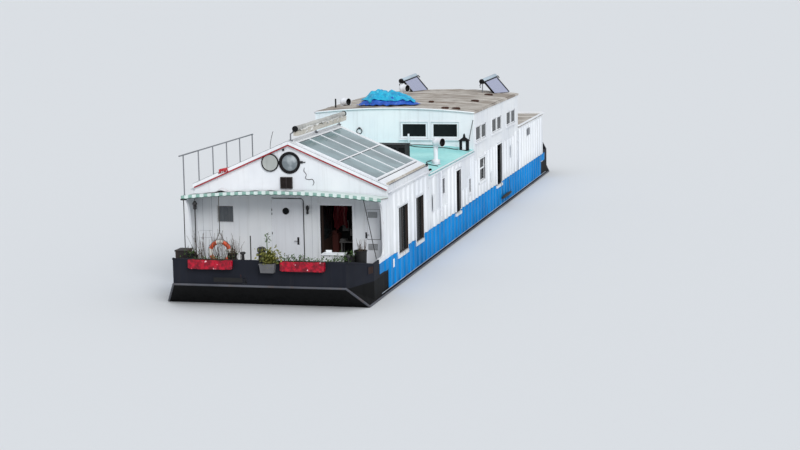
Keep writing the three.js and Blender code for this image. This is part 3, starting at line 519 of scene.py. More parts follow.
# %% Paint the solids
PAINTED = {
    "hull_paint": ["hull", "bulwark_fore", "bulwark_aft"],
    "white_paint": ["roof_left", "roof_right", "gable_aft", "wing_left", "wing_right"],
    "side_white": ["wall_right_fore", "wall_right_aft", "wall_left_fore", "wall_left_aft",
                   "cabin_wall_right", "cabin_wall_left"],
    "blue_paint": ["skirt_right", "skirt_left"],
    "deck_paint": ["roof_deck_fore"],
    "roofing": ["roof_deck_aft", "cabin_roof"],
    "door_paint": ["door_fore", "door_aft", "door_locker", "door_side_fore", "door_side_aft", "cowl_deck",
                   "cowl_roof_left", "cowl_roof_mid"],
    "black_paint": ["round_window", "deck_box", "deck_box_lid", "vent_box"],
    "window_glass": ["pane_fore", "pane_cabin_fore", "pane_right_1", "pane_right_2", "pane_left_1",
                     "pane_left_2", "pane_cabin_right", "pane_cabin_left", "pane_cabin_aft",
                     "round_window_cover", "heater_left", "heater_right"],
    "skylight_glass": ["skylight"],
    "cream_metal": ["awning_cassette", "canopy_fore", "lifebuoy", "flower_box_left", "flower_box_right",
                    "planter", "roof_heap"],
    "galvanised": ["handrail_left"],
    "dark_wood": ["door_entry"],
}
PAINTED |= {f"end_white_{i + 1}": [name] for i, name in enumerate(END_FACES)}
for finish, names in PAINTED.items():
    for name in names:
        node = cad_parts[name]
        node.data.materials.clear()
        node.data.materials.append(FINISHES[finish])
print("solids painted", sum(len(names) for names in PAINTED.values()), "of", len(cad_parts))

# %% [markdown]
# ## Forms that repeat
# Windows, bars and plates come again and again, so they are made once, lying in a wall that faces
# -Y, and then turned into the wall where they belong. A rounded block is a superellipsoid: a
# sphere whose sines and cosines are raised to a small power, so it looks packed and soft.

# %% Wall frames and soft blocks
WALL = 0.09
FORE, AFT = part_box("wall_fore")[0][1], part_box("wall_aft")[1][1]
CABIN_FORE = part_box("cabin_wall_fore")[0][1]
CABIN_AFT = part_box("cabin_wall_aft")[1][1]
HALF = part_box("roof_right")[1][0]
DECK_LEVEL = 1.301


def frame_rows(x0, x1, z0, z1, bar, y0, y1, posts=(), rails=()):
    """Rows for blocks: the four bars of a frame, then its posts (x) and rails (z)."""
    rows = [(x0, x1, y0, y1, z1 - bar, z1), (x0, x1, y0, y1, z0, z0 + bar),
            (x0, x0 + bar, y0, y1, z0 + bar, z1 - bar), (x1 - bar, x1, y0, y1, z0 + bar, z1 - bar)]
    rows += [(x - bar / 2, x + bar / 2, y0, y1, z0 + bar, z1 - bar) for x in posts]
    return rows + [(x0 + bar, x1 - bar, y0, y1, z - bar / 2, z + bar / 2) for z in rails]


def plates(y0, y1, *rows):
    """Flat blocks on a wall, all from y0 to y1, from rows of x0, x1, z0, z1."""
    return blocks([(x0, x1, y0, y1, z0, z1) for x0, x1, z0, z1 in rows])


def jambs(x0, x1, z0, z1, bar, y0, y1=-0.001):
    """Rows for blocks: the frame of a doorway, its head and its two sides."""
    rows = frame_rows(x0, x1, z0, z1, bar, y0, y1)
    return [rows[0], *rows[2:]]


def on_fore(shape, wall=FORE):
    return moved(shape, (0, wall, 0))


def on_aft(shape, wall=AFT):
    return moved(spun(shape, 2, 180), (0, wall, 0))


def on_right(shape):
    return moved(spun(shape, 2, 90), (HALF, 0, 0))


def on_left(shape):
    return mirrored(on_right(shape))


def soft_block(low, high, power=0.22, rows=24, columns=48):
    """A superellipsoid in a box: x = cos(v)^p cos(u)^p, y = cos(v)^p sin(u)^p, z = sin(v)^p."""
    low, high = np.asarray(low, float), np.asarray(high, float)
    v = np.linspace(-math.pi / 2, math.pi / 2, rows)[:, None]
    u = np.linspace(0, 2 * math.pi, columns, endpoint=False)[None, :]

    def eased(value):
        return np.sign(value) * np.abs(value) ** power

    ring = eased(np.cos(v))
    unit = np.stack([ring * eased(np.cos(u)), ring * eased(np.sin(u)), eased(np.sin(v)) + 0 * u], -1)
    return ((low + high) / 2 + unit.reshape(-1, 3) * (high - low) / 2,
            grid_faces(rows, columns, close_columns=True))


def crumpled(points, size, height, seed, count=9):
    """Creases: a sum of |sine| waves that run in seeded directions, from about 0 to height."""
    draw = np.random.default_rng(seed)
    waves = draw.normal(size=(count, 3))
    waves *= (2 * math.pi / size) * draw.uniform(0.5, 1.6, (count, 1)) / np.linalg.norm(waves, axis=1)[:,
                                                                                                       None]
    phases = draw.uniform(0, 2 * math.pi, count)
    return height * np.abs(np.sin(points @ waves.T + phases)).mean(-1) * 1.6


def sheet_area(shape):
    """The area of a shape's faces, each cut into two triangles."""
    corner = shape[0][shape[1]]
    halves = (np.cross(corner[:, 1] - corner[:, 0], corner[:, 2] - corner[:, 0]),
              np.cross(corner[:, 2] - corner[:, 0], corner[:, 3] - corner[:, 0]))
    return sum(np.linalg.norm(half, axis=1).sum() / 2 for half in halves)


def sheet(made, shape, thickness=0.0, length=None, width=None, **held):
    """Works out a sheet's flat size, one side as given and the other from its area, but keeps
    it nowhere. A thickness of cloth is added under it."""
    if thickness:
        thicken(made, thickness)
    area = float(sheet_area(shape))
    (length, area / length) if length else (area / width, width)


def thicken(made, thickness):
    shell = made.modifiers.new("thickness", "SOLIDIFY")
    shell.thickness, shell.offset = thickness, -1.0


print("walls at", [round(float(v), 3) for v in (FORE, AFT, CABIN_FORE, CABIN_AFT, HALF)])

# %% [markdown]
# ## The canopy
# Striped canvas is stretched over an arched frame in front of the house and hangs down as a
# valance. It is one sheet: its top rows lie on the arch and its last rows turn down over the front
# edge. The cloth dips a little between its ribs and the valance waves, so no part is flat. The
# sun has bleached the top nearly white, and the stripes are left on the valance.

# %% Striped canvas
CANOPY = {"depth": 1.0, "half": 3.05, "back": 3.6, "rise": 0.085, "arch": 0.17, "valance": 0.105}
STRIPE = 0.24
CANOPY_COLUMNS = 241


def canvas():
    cloth = Finish("striped_canvas", Roughness=0.85)
    x, y, _ = cloth.axes()
    threads = cloth.noise(420.0, 2.0)
    stain = cloth.noise(2.2, 4.0, 0.6, cloth.stretched((1.0, 1.0, 3.0)))
    hanging = 1 - y.within(FORE - CANOPY["depth"] + 0.004, FORE - CANOPY["depth"] + 0.02)
    band = (x / STRIPE).maths("PINGPONG", x / STRIPE, 0.5).within(0.235, 0.265) * hanging
    tone = cloth.mix(band, srgb(0.84, 0.89, 0.88), srgb(0.55, 0.7, 0.66))
    tone = cloth.mix(stain.within(0.45, 0.8) * 0.4, tone, srgb(0.55, 0.6, 0.55))
    cloth.colour(tone).bump(threads, 0.0006, 0.5)


def canopy_point(share, out, lift=0.0):
    """x = half * share; the height falls with share squared and rises with the distance out."""
    share, out = np.broadcast_arrays(np.asarray(share, float), np.asarray(out, float))
    height = CANOPY["back"] - CANOPY["arch"] * share ** 2 + CANOPY["rise"] * out / CANOPY["depth"]
    return np.stack([CANOPY["half"] * share, FORE - out * np.ones_like(share), height + lift], -1)


def canopy_sheet():
    """The first 13 rows run out over the arch, the next 8 hang down and wave along the edge."""
    share = np.linspace(-1, 1, CANOPY_COLUMNS)[None, :]
    out = np.linspace(0.02, CANOPY["depth"], 13)[:, None]
    dip = 0.01 * np.sin(math.pi * out / CANOPY["depth"]) * np.sin(share * 5 * math.pi) ** 2
    top = canopy_point(share, out, -dip)
    fall = np.linspace(0.02, 1, 8)[:, None]
    wave = 0.01 * fall * np.sin(share * CANOPY["half"] * 2 * math.pi / STRIPE)
    hem = CANOPY["valance"] - 0.018 * np.abs(np.sin(share * CANOPY["half"] * math.pi / STRIPE))
    front = canopy_point(share, CANOPY["depth"] + 0.012 - wave * 0.9 - 0.006 * (1 - fall), -fall * hem)
    return woven(np.concatenate([top, front]))


canvas()
canvas_shape = canopy_sheet()
canopy_cloth = piece("canopy_canvas", canvas_shape, "striped_canvas", smooth=True, replaces=["canopy_fore"])
hem_line = canvas_shape[0][-CANOPY_COLUMNS:] + (0, -0.001, -0.002)
canopy_hem = piece("canopy_hem", tube(hem_line, 0.009, 6), "green_hem", smooth=True)
sheet(canopy_cloth, canvas_shape, 0.003, length=6.2, held="stretched", rests_on=["wing_left", "wing_right"],
      with_pieces=[canopy_hem])

# %% [markdown]
# The canvas needs something to lie on: a front tube, a back tube on the wall and seven thin ribs
# between them. They show under the edge, and from below.

# %% Canopy frame
RIB_OUT = (0.03, CANOPY["depth"] - 0.03)
across = np.linspace(-0.985, 0.985, 33)
canopy_bars = [tube(canopy_point(across, out, -0.025), 0.018, 8) for out in RIB_OUT]
canopy_bars += [rod(*(canopy_point(share, out, -0.025) for out in RIB_OUT), 0.012, 8)
                for share in np.linspace(-0.985, 0.985, 7)]
piece("canopy_frame", canopy_bars, "cream_metal", smooth=True)

# %% [markdown]
# ## Windows
# Each opening gets a white plastic frame that stands a little proud of the wall, a thinner sash
# set back in it, a black seal and its own sheet of glass. All frames come from one function, so
# their bars keep the same real widths. Behind some cabin windows hangs a pale curtain.

# %% Frames and glass
def window(name, opening, place, posts=(), rails=(), casing=0.055, proud=0.02, sash=0.045, sill=True,
           replaces=(), drapes=(), pane="window_glass", sash_finish=None):
    """A window in the opening (x0, x1, z0, z1): casing outside, sash in the reveal, seal and glass."""
    x0, x1, z0, z1 = opening
    cover = frame_rows(x0 - casing, x1 + casing, z0 - casing, z1 + casing, casing, -proud, -0.001)
    if sill:
        cover.append((x0 - casing - 0.03, x1 + casing + 0.03, -0.075, -0.001, z0 - casing - 0.035,
                      z0 - casing))
    inner = frame_rows(x0 + 0.002, x1 - 0.002, z0 + 0.002, z1 - 0.002, sash, 0.012, 0.055, posts, rails)
    seal = frame_rows(x0 + sash - 0.002, x1 - sash + 0.002, z0 + sash - 0.002, z1 - sash + 0.002, 0.01,
                      0.02, 0.03)
    if sash_finish:
        piece(f"{name}_sash", place(blocks(inner)), sash_finish, bevel=0.004)
    else:
        cover += inner
    piece(f"{name}_frame", place(blocks(cover)), "frame_white", bevel=0.004, replaces=replaces)
    piece(f"{name}_seal", place(blocks(seal)), "rubber")
    piece(f"{name}_glass", place(plates(0.026, 0.036, (x0 + 0.01, x1 - 0.01, z0 + 0.01, z1 - 0.01))), pane)
    for i, (low, high) in enumerate(drapes):
        u = np.linspace(low, high, 60)
        folds = 0.075 + 0.012 * np.sin(u * 2 * math.pi / 0.09)
        cloth = place(woven(np.stack([np.stack([u, folds, np.full_like(u, z)], -1)
                                      for z in (z0 + 0.01, z1 - 0.01)])))
        drape = piece(f"{name}_curtain_{i + 1}", cloth, "curtain", smooth=True)
        sheet(drape, cloth, width=z1 - z0 - 0.02, held="hung", rests_on=[f"{name}_frame"])


def on_cabin(shape):
    return on_fore(shape, CABIN_FORE)


# Its pane is mid grey, a painted reflection
window("fore_window", (-2.3, -1.78, 2.59, 3.11), on_fore, casing=0.022, sash=0.02, proud=0.008, sill=False,
       replaces=["pane_fore"], pane="grey_pane")
window("cabin_window_1", (0.24, 1.277, 3.86, 4.48), on_cabin, casing=0.02, sash=0.08, proud=0.03,
       replaces=["pane_cabin_fore"])
window("cabin_window_2", (1.399, 2.445, 3.86, 4.48), on_cabin, casing=0.02, sash=0.08, proud=0.03)
piece("cabin_window_post", on_cabin(plates(-0.012, 0.06, (1.277, 1.399, 3.862, 4.478))), "frame_white",
      bevel=0.004)
window("cabin_aft_window", (-0.9, 0.9, 3.84, 4.53), lambda shape: on_aft(shape, CABIN_AFT), posts=[0.0],
       replaces=["pane_cabin_aft"])
FORE_PAIR = {"right_1": (-12.85, -11.68, 1.54, 2.96), "right_2": (-10.58, -9.56, 1.54, 2.95)}
for name, (y0, y1, z0, z1) in FORE_PAIR.items():
    window(f"window_{name}", (y0, y1, z0, z1), on_right, casing=0.022, proud=0.058, sash=0.03, sill=False,
           posts=[y0 + 0.62 * (y1 - y0)], replaces=[f"pane_{name}"], sash_finish="sash_shade_brown")
    # The reveals and sashes are dark brown as painted shade in the openings
    reveals = plates(-0.055, 0.012, (y1 - 0.003, y1 - 0.0005, z0 + 0.01, z1 - 0.01),
                     (y0 + 0.0005, y0 + 0.003, z0 + 0.01, z1 - 0.01))
    piece(f"reveal_{name}", on_right(reveals), "sash_shade_brown")
for name, (y0, y1) in {"left_1": (-12.85, -11.68), "left_2": (-10.58, -9.56)}.items():
    window(f"window_{name}", (y0, y1, 1.86, 2.88), on_left, posts=[(y0 + y1) / 2], proud=0.062,
           replaces=[f"pane_{name}"])
# The cabin's windows stand in pairs: where each pair starts, its length and the post in its middle
CABIN_PAIRS, PAIR, POST = (-0.85, 2.3, 5.38), 2.0, 0.09
CURTAINED = (2, 5)
for side, place in (("right", on_right), ("left", on_left)):
    for i, y in enumerate(CABIN_PAIRS):
        half = (PAIR - POST) / 2
        for j, low in enumerate((y, y + PAIR - half)):
            count = 2 * i + j + 1
            window(f"cabin_{side}_{count}", (low, low + half, 3.73, 4.285), place, casing=0.03, sash=0.05,
                   proud=0.025, replaces=[f"pane_cabin_{side}"] if count == 1 else (),
                   drapes=[(low + 0.05, low + 0.9)] if count in CURTAINED else [])

# %% [markdown]
# ## The skylight
# The right slope of the front room is glazed: white bars hold eight sheets of glass. The bars are
# blocks bent onto the slope, by adding the roof's height at each point, and the glass lies a
# little below them, so every sheet has its own edge.

# %% Skylight bars and sheets
RIDGE, EAVES = 5.065, 3.76
SLOPE = (RIDGE - EAVES) / HALF
LIGHT_END = FORE + 4.95


def on_slope(shape):
    """A shape whose z is counted from the roof, set onto the slope: z = ridge - slope * |x| + z."""
    points = shape[0].copy()
    points[:, 2] += RIDGE - SLOPE * np.abs(points[:, 0])
    return points, shape[1]


def skylight(x0, middle, x1, y0, y1, lane_count):
    """Bars round the field, one along its middle and one between each two lanes of glass."""
    lanes = np.linspace(y0, y1, lane_count + 1)
    bars = [(x0 - 0.03, x0 + 0.03, y0 - 0.04, y1 + 0.04, 0.001, 0.045),
            (x1 - 0.03, x1 + 0.03, y0 - 0.04, y1 + 0.04, 0.001, 0.045),
            (middle - 0.02, middle + 0.02, y0, y1, 0.001, 0.04)]
    bars += [(x0 - 0.03, x1 + 0.03, y - 0.019, y + 0.019, 0.001, 0.048) for y in lanes]
    piece("skylight_bars", on_slope(blocks(bars)), "frame_white", bevel=0.006, replaces=["skylight"])
    glass, seals = [], []
    for low, high in zip(lanes[:-1], lanes[1:]):
        for a, b in ((x0 + 0.03, middle - 0.025), (middle + 0.025, x1 - 0.03)):
            glass.append((a + 0.001, b - 0.001, low + 0.02, high - 0.02, 0.008, 0.022))
            seals += [(a, a + 0.012, low + 0.019, high - 0.019, 0.001, 0.028),
                      (b - 0.012, b, low + 0.019, high - 0.019, 0.001, 0.028)]
    piece("skylight_sheets", on_slope(blocks(glass)), "skylight_glass")
    piece("skylight_seals", on_slope(blocks(seals)), "rubber")


skylight(0.2, 1.48, 2.65, FORE + 0.16, LIGHT_END, 4)

# %% [markdown]
# ## The stowed awning
# A fabric awning is rolled up on a tube beside the ridge, above a flat box, on cranked steel
# posts. The roll is a tube whose radius changes slowly along it, where the cloth is wound tighter
# or looser, and a loose strip of cloth hangs between it and the box.

# %% Roll, box and posts
ROLL_X, ROLL_Z, ROLL_FROM, ROLL_TO = 0.2, RIDGE + 0.35, FORE + 0.02, -8.52


def awning_roll():
    """Radius 0.074 plus a few millimetres of slow waves; the rings of cloth give small steps."""
    y = np.linspace(ROLL_FROM + 0.03, ROLL_TO - 0.03, 240)
    radius = 0.074 + 0.003 * np.sin(y * 3.1) + 0.002 * np.sin(y * 7.7 + 1) + 0.0015 * np.sin(y * 23)
    return tube(np.stack([np.full_like(y, ROLL_X), y, np.full_like(y, ROLL_Z)], -1), radius, 20)


def loose_strip():
    """Cloth between roll and box: its lower edge wanders in and out and up and down."""
    y = np.linspace(ROLL_FROM + 0.3, ROLL_TO - 0.5, 300)[None, :]
    v = np.linspace(0, 1, 12)[:, None]
    drop = 0.1 + 0.05 * np.sin(y * 2.3) + 0.03 * np.sin(y * 9.1 + 2) + 0.015 * np.sin(y * 31)
    x = ROLL_X + 0.075 + 0.03 * v * np.sin(y * 11) + 0.015 * np.sin(v * 9 + y * 4)
    z = ROLL_Z - 0.01 - v * drop
    return woven(np.stack([x + 0 * y, y + 0 * x, z + 0 * x], -1))


piece("awning_roll", awning_roll(), "roll_cloth", smooth=True, replaces=["awning_cassette"])
box_rows = [(0.13, 0.29, ROLL_FROM + 0.06, ROLL_TO - 0.04, ROLL_Z - 0.21, ROLL_Z - 0.075),
            (0.12, 0.3, ROLL_FROM + 0.05, ROLL_TO - 0.03, ROLL_Z - 0.085, ROLL_Z - 0.07)]
piece("awning_box", blocks(box_rows), "cream_metal", bevel=0.012)
POST_X = 0.045
post_shapes = []
for y in np.linspace(ROLL_FROM + 0.06, ROLL_TO - 0.06, 3):
    crank = [(POST_X, y, RIDGE + 0.001 - SLOPE * POST_X), (POST_X, y, RIDGE + 0.2), (0.1, y, ROLL_Z - 0.12),
             (ROLL_X - 0.02, y, ROLL_Z)]
    post_shapes += [tube(crank, 0.022, 10, (0, 1, 0)),
                    blocks([(POST_X - 0.06, POST_X + 0.06, y - 0.05, y + 0.05, RIDGE - 0.015, RIDGE + 0.02)])]
piece("awning_posts", post_shapes, "galvanised")
ends = [turned_form([(0, y - 0.03), (0.083, y - 0.03), (0.088, y - 0.015), (0.088, y + 0.015),
                     (0.083, y + 0.03), (0, y + 0.03)], (ROLL_X, 0, ROLL_Z), axis=1, sides=28)
        for y in (ROLL_FROM + 0.03, ROLL_TO - 0.03)]
piece("awning_ends", ends, "black_paint", bevel=0.003)
strip_shape = loose_strip()
sheet(piece("awning_loose_cloth", strip_shape, "loose_white", smooth=True), strip_shape, 0.002, length=4.56,
      held="hung", rests_on=["awning_roll"])

# %% [markdown]
# ## Round window and its cover
# The gable has a round window in a thick black ring, and beside it, swung open on a short hinge, a
# glazed cover with a thin ring. Rings are turned forms: a profile of radius and depth carried
# round the window's axis.

# %% Turned rings
ROUND_X, ROUND_Z = 0.02, 4.415
COVER_X = ROUND_X - 0.6
HINGE_Y = FORE - 0.051


def ring(x, inner, outer, front, back, round_off):
    """A closed ring profile: out along the front, down the rim and back, all corners eased."""
    profile = [(inner, back), (inner, front + round_off), (inner + round_off, front),
               (outer - round_off, front), (outer, front + round_off), (outer, back), (inner, back)]
    return turned_form(profile, (x, FORE, ROUND_Z), axis=1, sides=48)


# The round pane's lighter patches of glare are a painted reflection
pane = Finish("round_glass", Roughness=0.08, IOR=1.5, Coat_Weight=0.5)
glare = pane.noise(3.0, 2.0)
pane.colour(pane.mix(glare.within(0.35, 0.7), srgb(0.42, 0.46, 0.48), srgb(0.74, 0.77, 0.78)))
piece("round_ring", [ring(ROUND_X, 0.25, 0.328, -0.04, 0.04, 0.012),
                     ring(ROUND_X, 0.243, 0.262, -0.022, 0.012, 0.006)], "black_paint",
      replaces=["round_window"])
piece("round_pane", disc(0.257, 0.01, 0.02, (ROUND_X, FORE, ROUND_Z), 1, 48), "round_glass")
piece("cover_ring", [ring(COVER_X, 0.234, 0.269, -0.051, -0.023, 0.006),
                     blocks([(COVER_X + 0.25, ROUND_X - 0.31, HINGE_Y, HINGE_Y + 0.008, 4.375, 4.455)]),
                     rod((-0.28, HINGE_Y, 4.375), (-0.28, HINGE_Y, 4.455), 0.0115, 12)],
      "black_paint", body="round_cover", replaces=["round_window_cover"])
piece("cover_pane", disc(0.236, -0.042, -0.03, (COVER_X, FORE, ROUND_Z), 1, 48), "pale_disc",
      body="round_cover")

# %% [markdown]
# ## The vent in the gable
# Under the round window is a dark, brownish grille: a shallow box with slanted louvres, each one a
# thin block turned about its long edge.

# %% Louvres
def louvres(x0, x1, z0, z1, y, pitch, tilt=35, depth=0.03):
    """A row of slats one pitch apart, each turned about the X axis."""
    places = np.arange(z0 + pitch / 2, z1, pitch)
    slats = [blocks([(x0, x1, y - depth / 2, y + depth / 2, z - 0.003, z + 0.003)]) for z in places]
    return joined([spun(slat, 0, tilt, (0, y, z)) for slat, z in zip(slats, places)])


vent_case = frame_rows(-0.27, 0.1, 3.65, 3.99, 0.028, FORE - 0.06, FORE - 0.001, posts=[-0.085])
piece("vent_case", [blocks(vent_case), blocks([(-0.26, 0.09, FORE - 0.02, FORE - 0.002, 3.66, 3.98)])],
      "brown_black", bevel=0.003, replaces=["vent_box"])
piece("vent_slats", louvres(-0.245, 0.075, 3.68, 3.96, FORE - 0.036, 0.035), "brown_black")

# %% [markdown]
# ## Cowl vents
# White bent hoods bring air down. The hood is a profile turned round its own level axis: most of a
# ball, a short throat, a rolled lip, and a black inside that closes the throat as painted shade. The
# whole is turned to look to the side.

# %% Cowls
def cowl(name, x, y, z, height, radius, collars, base=None):
    """One hood of the given radius at height over its place, with its pipe, collars and foot."""
    angle = np.linspace(0, math.radians(118), 18)
    ball = np.stack([1.06 * radius * np.sin(angle), 0.3 * radius - 1.06 * radius * np.cos(angle)], -1)
    lip = np.array([(0.97, 1.25), (0.97, 1.9), (1.0, 2.08), (1.02, 2.12), (1.02, 2.15), (0.98, 2.17),
                    (0.95, 2.14)])
    shell = np.concatenate([ball, lip * radius, [(0.94 * radius, 1.5 * radius)]])
    hood = turned_form(shell, (0, 0, height), axis=0)
    # The inside is a black cup across the throat: painted shade of the pipe below
    inside = [(0.935 * radius, 2.1 * radius), (0.93 * radius, 1.5 * radius), (0.6 * radius, 0.9 * radius),
              (0, 0.6 * radius)]
    mouth = turned_form(inside, (0, 0, height), axis=0)
    stem = tube([(0, 0, -0.02), (0, 0, 0.04), (0, 0, height * 0.5), (0, 0, height - radius * 0.5)],
                [radius * 0.62, radius * 0.5, radius * 0.5, radius * 0.55], 20, (1, 0, 0))
    parts = [hood, stem]
    parts += [turned_form([(0.4 * radius, low), (0.62 * radius, low), (0.62 * radius, low + 0.025),
                           (0.4 * radius, low + 0.025)], (0, 0, 0), sides=20) for low in collars]
    if base:
        parts.append(blocks([(-base, base, -base, base, 0.0, 0.16),
                             (-base - 0.02, base + 0.02, -base - 0.02, base + 0.02, 0.0, 0.02)]))
    for ending, shape, finish, slot in (("hood", joined(parts), "door_paint", "vent_white"),
                                        ("mouth", (mouth[0], mouth[1][:, ::-1]), "rubber", "black_trim")):
        piece(f"{name}_{ending}", moved(spun(shape, 2, -30), (x, y, z)), finish, smooth=True,
              replaces=[name] if ending == "hood" else ())


def cabin_roof_height(x):
    """Wall height at the sides plus a camber that falls with x squared, plus the roof's thickness."""
    return 4.79 + 0.16 * (1 - (np.asarray(x, float) / HALF) ** 2) + 0.06


def deck_height(x):
    """The fore roof deck: 3.46 at the edges, 0.18 higher and flat in the middle."""
    return 3.46 + 0.18 * (1 - (np.asarray(x, float) / HALF) ** 4)


cowl("cowl_deck", 2.715, -6.2, float(deck_height(2.715)), 0.75, 0.145, [0.0, 0.75 - 1.25 * 0.145], base=0.1)
cowl("cowl_roof_left", -2.48, 0.85, float(cabin_roof_height(2.48)), 0.165, 0.14, [0.0])
cowl("cowl_roof_mid", -1.15, 4.9, float(cabin_roof_height(1.15)), 0.31, 0.145, [0.0])

# %% [markdown]
# ## Solar water heaters
# Each heater is a tank on the upper edge of a glazed panel that slopes down to the right, on bent
# struts. The racks stand a little askew on the roof, so they are made straight and then tilted,
# turned and moved as one. The panel ends where its two sides meet the roof.

# %% Heaters
HEATER = {"length": 1.36, "tank": 0.092, "run": 0.56, "drop": 0.64, "margin": 0.12, "tilt": 7, "turn": -15.5}


def collector():
    glass = Finish("collector_glass", Roughness=0.18, Coat_Weight=0.6)
    y = glass.axes()[1] / 0.075
    tubes = y.maths("PINGPONG", y, 0.5).within(0.1, 0.4)
    glass.colour(glass.mix(tubes, srgb(0.5, 0.52, 0.62), srgb(0.66, 0.68, 0.78)))


def slab_along(y0, y1, from_t, to_t, thick, lift=0.0):
    """A flat slab down the panel's line, between shares from_t and to_t of its slope for each side."""
    run, drop = HEATER["run"], HEATER["drop"]
    normal = np.array([drop, 0, run]) / math.hypot(run, drop)
    low = np.array([np.array([0.04 + run * t, y, -0.03 - drop * t]) + normal * lift
                    for share in (from_t, to_t) for y, t in zip((y0, y1), share)])
    faces = np.array([[0, 1, 3, 2], [4, 6, 7, 5], [0, 4, 5, 1], [2, 3, 7, 6], [0, 2, 6, 4], [1, 5, 7, 3]])
    return np.concatenate([low, low + normal * thick]), faces


def heater(name, place):
    length, tank, margin = HEATER["length"], HEATER["tank"], HEATER["margin"]
    no_faces = np.zeros((0, 4), int)

    def set_up(shape):
        return moved(spun(spun(shape, 0, HEATER["tilt"]), 2, HEATER["turn"]), place)

    def roof_share(y):
        """The share of the slope at which the panel's line at y meets the roof."""
        t = np.linspace(0, 1, 200)
        line = np.stack([0.04 + HEATER["run"] * t, np.full_like(t, y), -0.03 - HEATER["drop"] * t], -1)
        world = set_up((line, no_faces))[0]
        over = world[:, 2] > cabin_roof_height(world[:, 0]) + 0.015
        return float(t[over][-1])

    y0, y1 = margin, length - margin
    ends = roof_share(y0), roof_share(y1)
    body = turned_form([(0, 0.03), (tank * 0.85, 0.03), (tank, 0.055), (tank, length - 0.06),
                        (tank * 0.8, length - 0.02), (0, length)], (0, 0, 0), axis=1, sides=28)
    cap = turned_form([(0, -0.02), (tank * 0.7, -0.02), (tank * 1.04, 0.01), (tank * 1.06, 0.09),
                       (tank * 0.9, 0.1), (0, 0.1)], (0, 0, 0), axis=1, sides=28)
    piece(f"{name}_tank", set_up(body), "tank_paint", smooth=True, replaces=[name])
    panel = slab_along(y0 + 0.03, y1 - 0.03, (0.05, 0.05), ends, 0.02, 0.02)
    piece(f"{name}_panel", set_up(panel), "collector_glass")
    edges = [slab_along(y0 - 0.02, y0 + 0.03, (0.0, 0.0), (ends[0], ends[0]), 0.06),
             slab_along(y1 - 0.03, y1 + 0.02, (0.0, 0.0), (ends[1], ends[1]), 0.06),
             slab_along(y0, y1, (0.0, 0.0), (0.07, 0.07), 0.055)]
    hooks = tube([(0.0, length - 0.02, -0.02), (0.06, length + 0.06, -0.02), (0.13, length + 0.07, -0.1)],
                 0.022, 8)
    bracket = tube([(0.0, 0.05, -0.02), (-0.09, 0.05, -0.16), (-0.085, 0.06, -0.26)], 0.02, 8)
    bar = blocks([(-0.02, 0.06, y0, y1, -tank - 0.02, -tank + 0.03)])
    piece(f"{name}_black", set_up(joined([cap, *edges, hooks, bracket, bar])), "black_paint")
    legs = []
    for along in (y0, y1):
        top = set_up((np.array([[0.0, along, 0.0]]), no_faces))[0][0]
        foot = (top[0], top[1], float(cabin_roof_height(top[0])) + 0.002)
        legs += [rod(foot, top - (0, 0, 0.05), 0.02, 10), disc(0.05, 0, 0.012, foot, sides=14)]
    piece(f"{name}_legs", legs, "galvanised")


collector()
heater("heater_left", (-1.64, 6.65, 5.455))
heater("heater_right", (1.75, 6.65, 5.43))

# %% [markdown]
# ## The covered heap
# Things on the cabin roof lie under two old tarpaulins, blue below and bright cyan on top. A
# tarpaulin over a heap is a grid round the heap's middle: its height is a dome that ends on the
# roof, plus creases from crossing waves, so the cloth breaks into facets as stiff sheet does.

# %% Tarpaulins
HEAP = {"centre": (-0.45, -0.15), "half": (1.15, 0.62), "height": 0.31}


def tarp_colour(name, base, shade, worn):
    tarp = Finish(name, Roughness=0.42, Coat_Weight=0.15)
    folds = tarp.noise(5.0, 5.0, 0.6)
    weave = tarp.noise(160.0, 2.0)
    # The darker colour over the folds is painted shade
    tone = tarp.mix(folds.within(0.35, 0.65), base, shade)
    tone = tarp.mix(tarp.noise(11.0, 4.0).within(0.58, 0.7) * 0.6, tone, worn)
    tarp.colour(tone).bump(folds + weave * 0.05, 0.02, 0.7)


def tarpaulin(reach, lift, crease, seed, ragged):
    """Polar grid: q is the share of the way out; height = roof + dome * (1 - q^2.4) + creases, and
    the edge wanders in and out with the angle."""
    q = np.linspace(0.0, 1.0, 60)[:, None]
    angle = np.linspace(0, 2 * math.pi, 180, endpoint=False)[None, :]
    edge = reach * (1 + ragged * (0.6 * np.sin(3 * angle + seed) + 0.4 * np.sin(7 * angle + 2 * seed)
                                  + 0.25 * np.sin(17 * angle)))
    share = q * edge
    x = HEAP["centre"][0] + HEAP["half"][0] * share * np.cos(angle)
    y = HEAP["centre"][1] + HEAP["half"][1] * share * np.sin(angle)
    flat = np.stack([x, y, 0 * x], -1).reshape(-1, 3)
    creases = crumpled(flat, 0.62, crease * 1.6, seed, 5).reshape(x.shape)
    fine = crumpled(flat, 0.2, crease * 0.5, seed + 5, 6).reshape(x.shape)
    dome = HEAP["height"] * np.clip(1 - np.clip(share, 0, 1) ** 2.4, 0, None)
    humps = 0.1 * np.exp(-((x + 0.95) / 0.35) ** 2) - 0.14 * np.clip((x + 0.1) / 1.2, 0, 1) * (1 - q)
    pile = dome + humps * (share < 0.95) + (creases + fine) * (0.3 + dome)
    z = cabin_roof_height(x) + lift + np.clip(pile, 0.004, None)
    return woven(np.stack([x, y, z], -1), close_columns=True)


tarp_colour("blue_tarp", srgb(0.1, 0.36, 0.76), srgb(0.05, 0.25, 0.62), srgb(0.34, 0.54, 0.82))
tarp_colour("cyan_tarp", srgb(0.0, 0.7, 0.84), srgb(0.02, 0.55, 0.74), srgb(0.45, 0.86, 0.92))
for name, finish, long, shape, replaced in (
        ("tarp_blue", "blue_tarp", 2.6, tarpaulin(1.06, 0.004, 0.1, 3, 0.05), ["roof_heap"]),
        ("tarp_cyan", "cyan_tarp", 2.3, tarpaulin(0.9, 0.03, 0.13, 8, 0.06), [])):
    tarp = piece(name, shape, finish, smooth=True, replaces=replaced)
    sheet(tarp, shape, 0.002, length=long, held="draped", rests_on=["cabin_roof"])

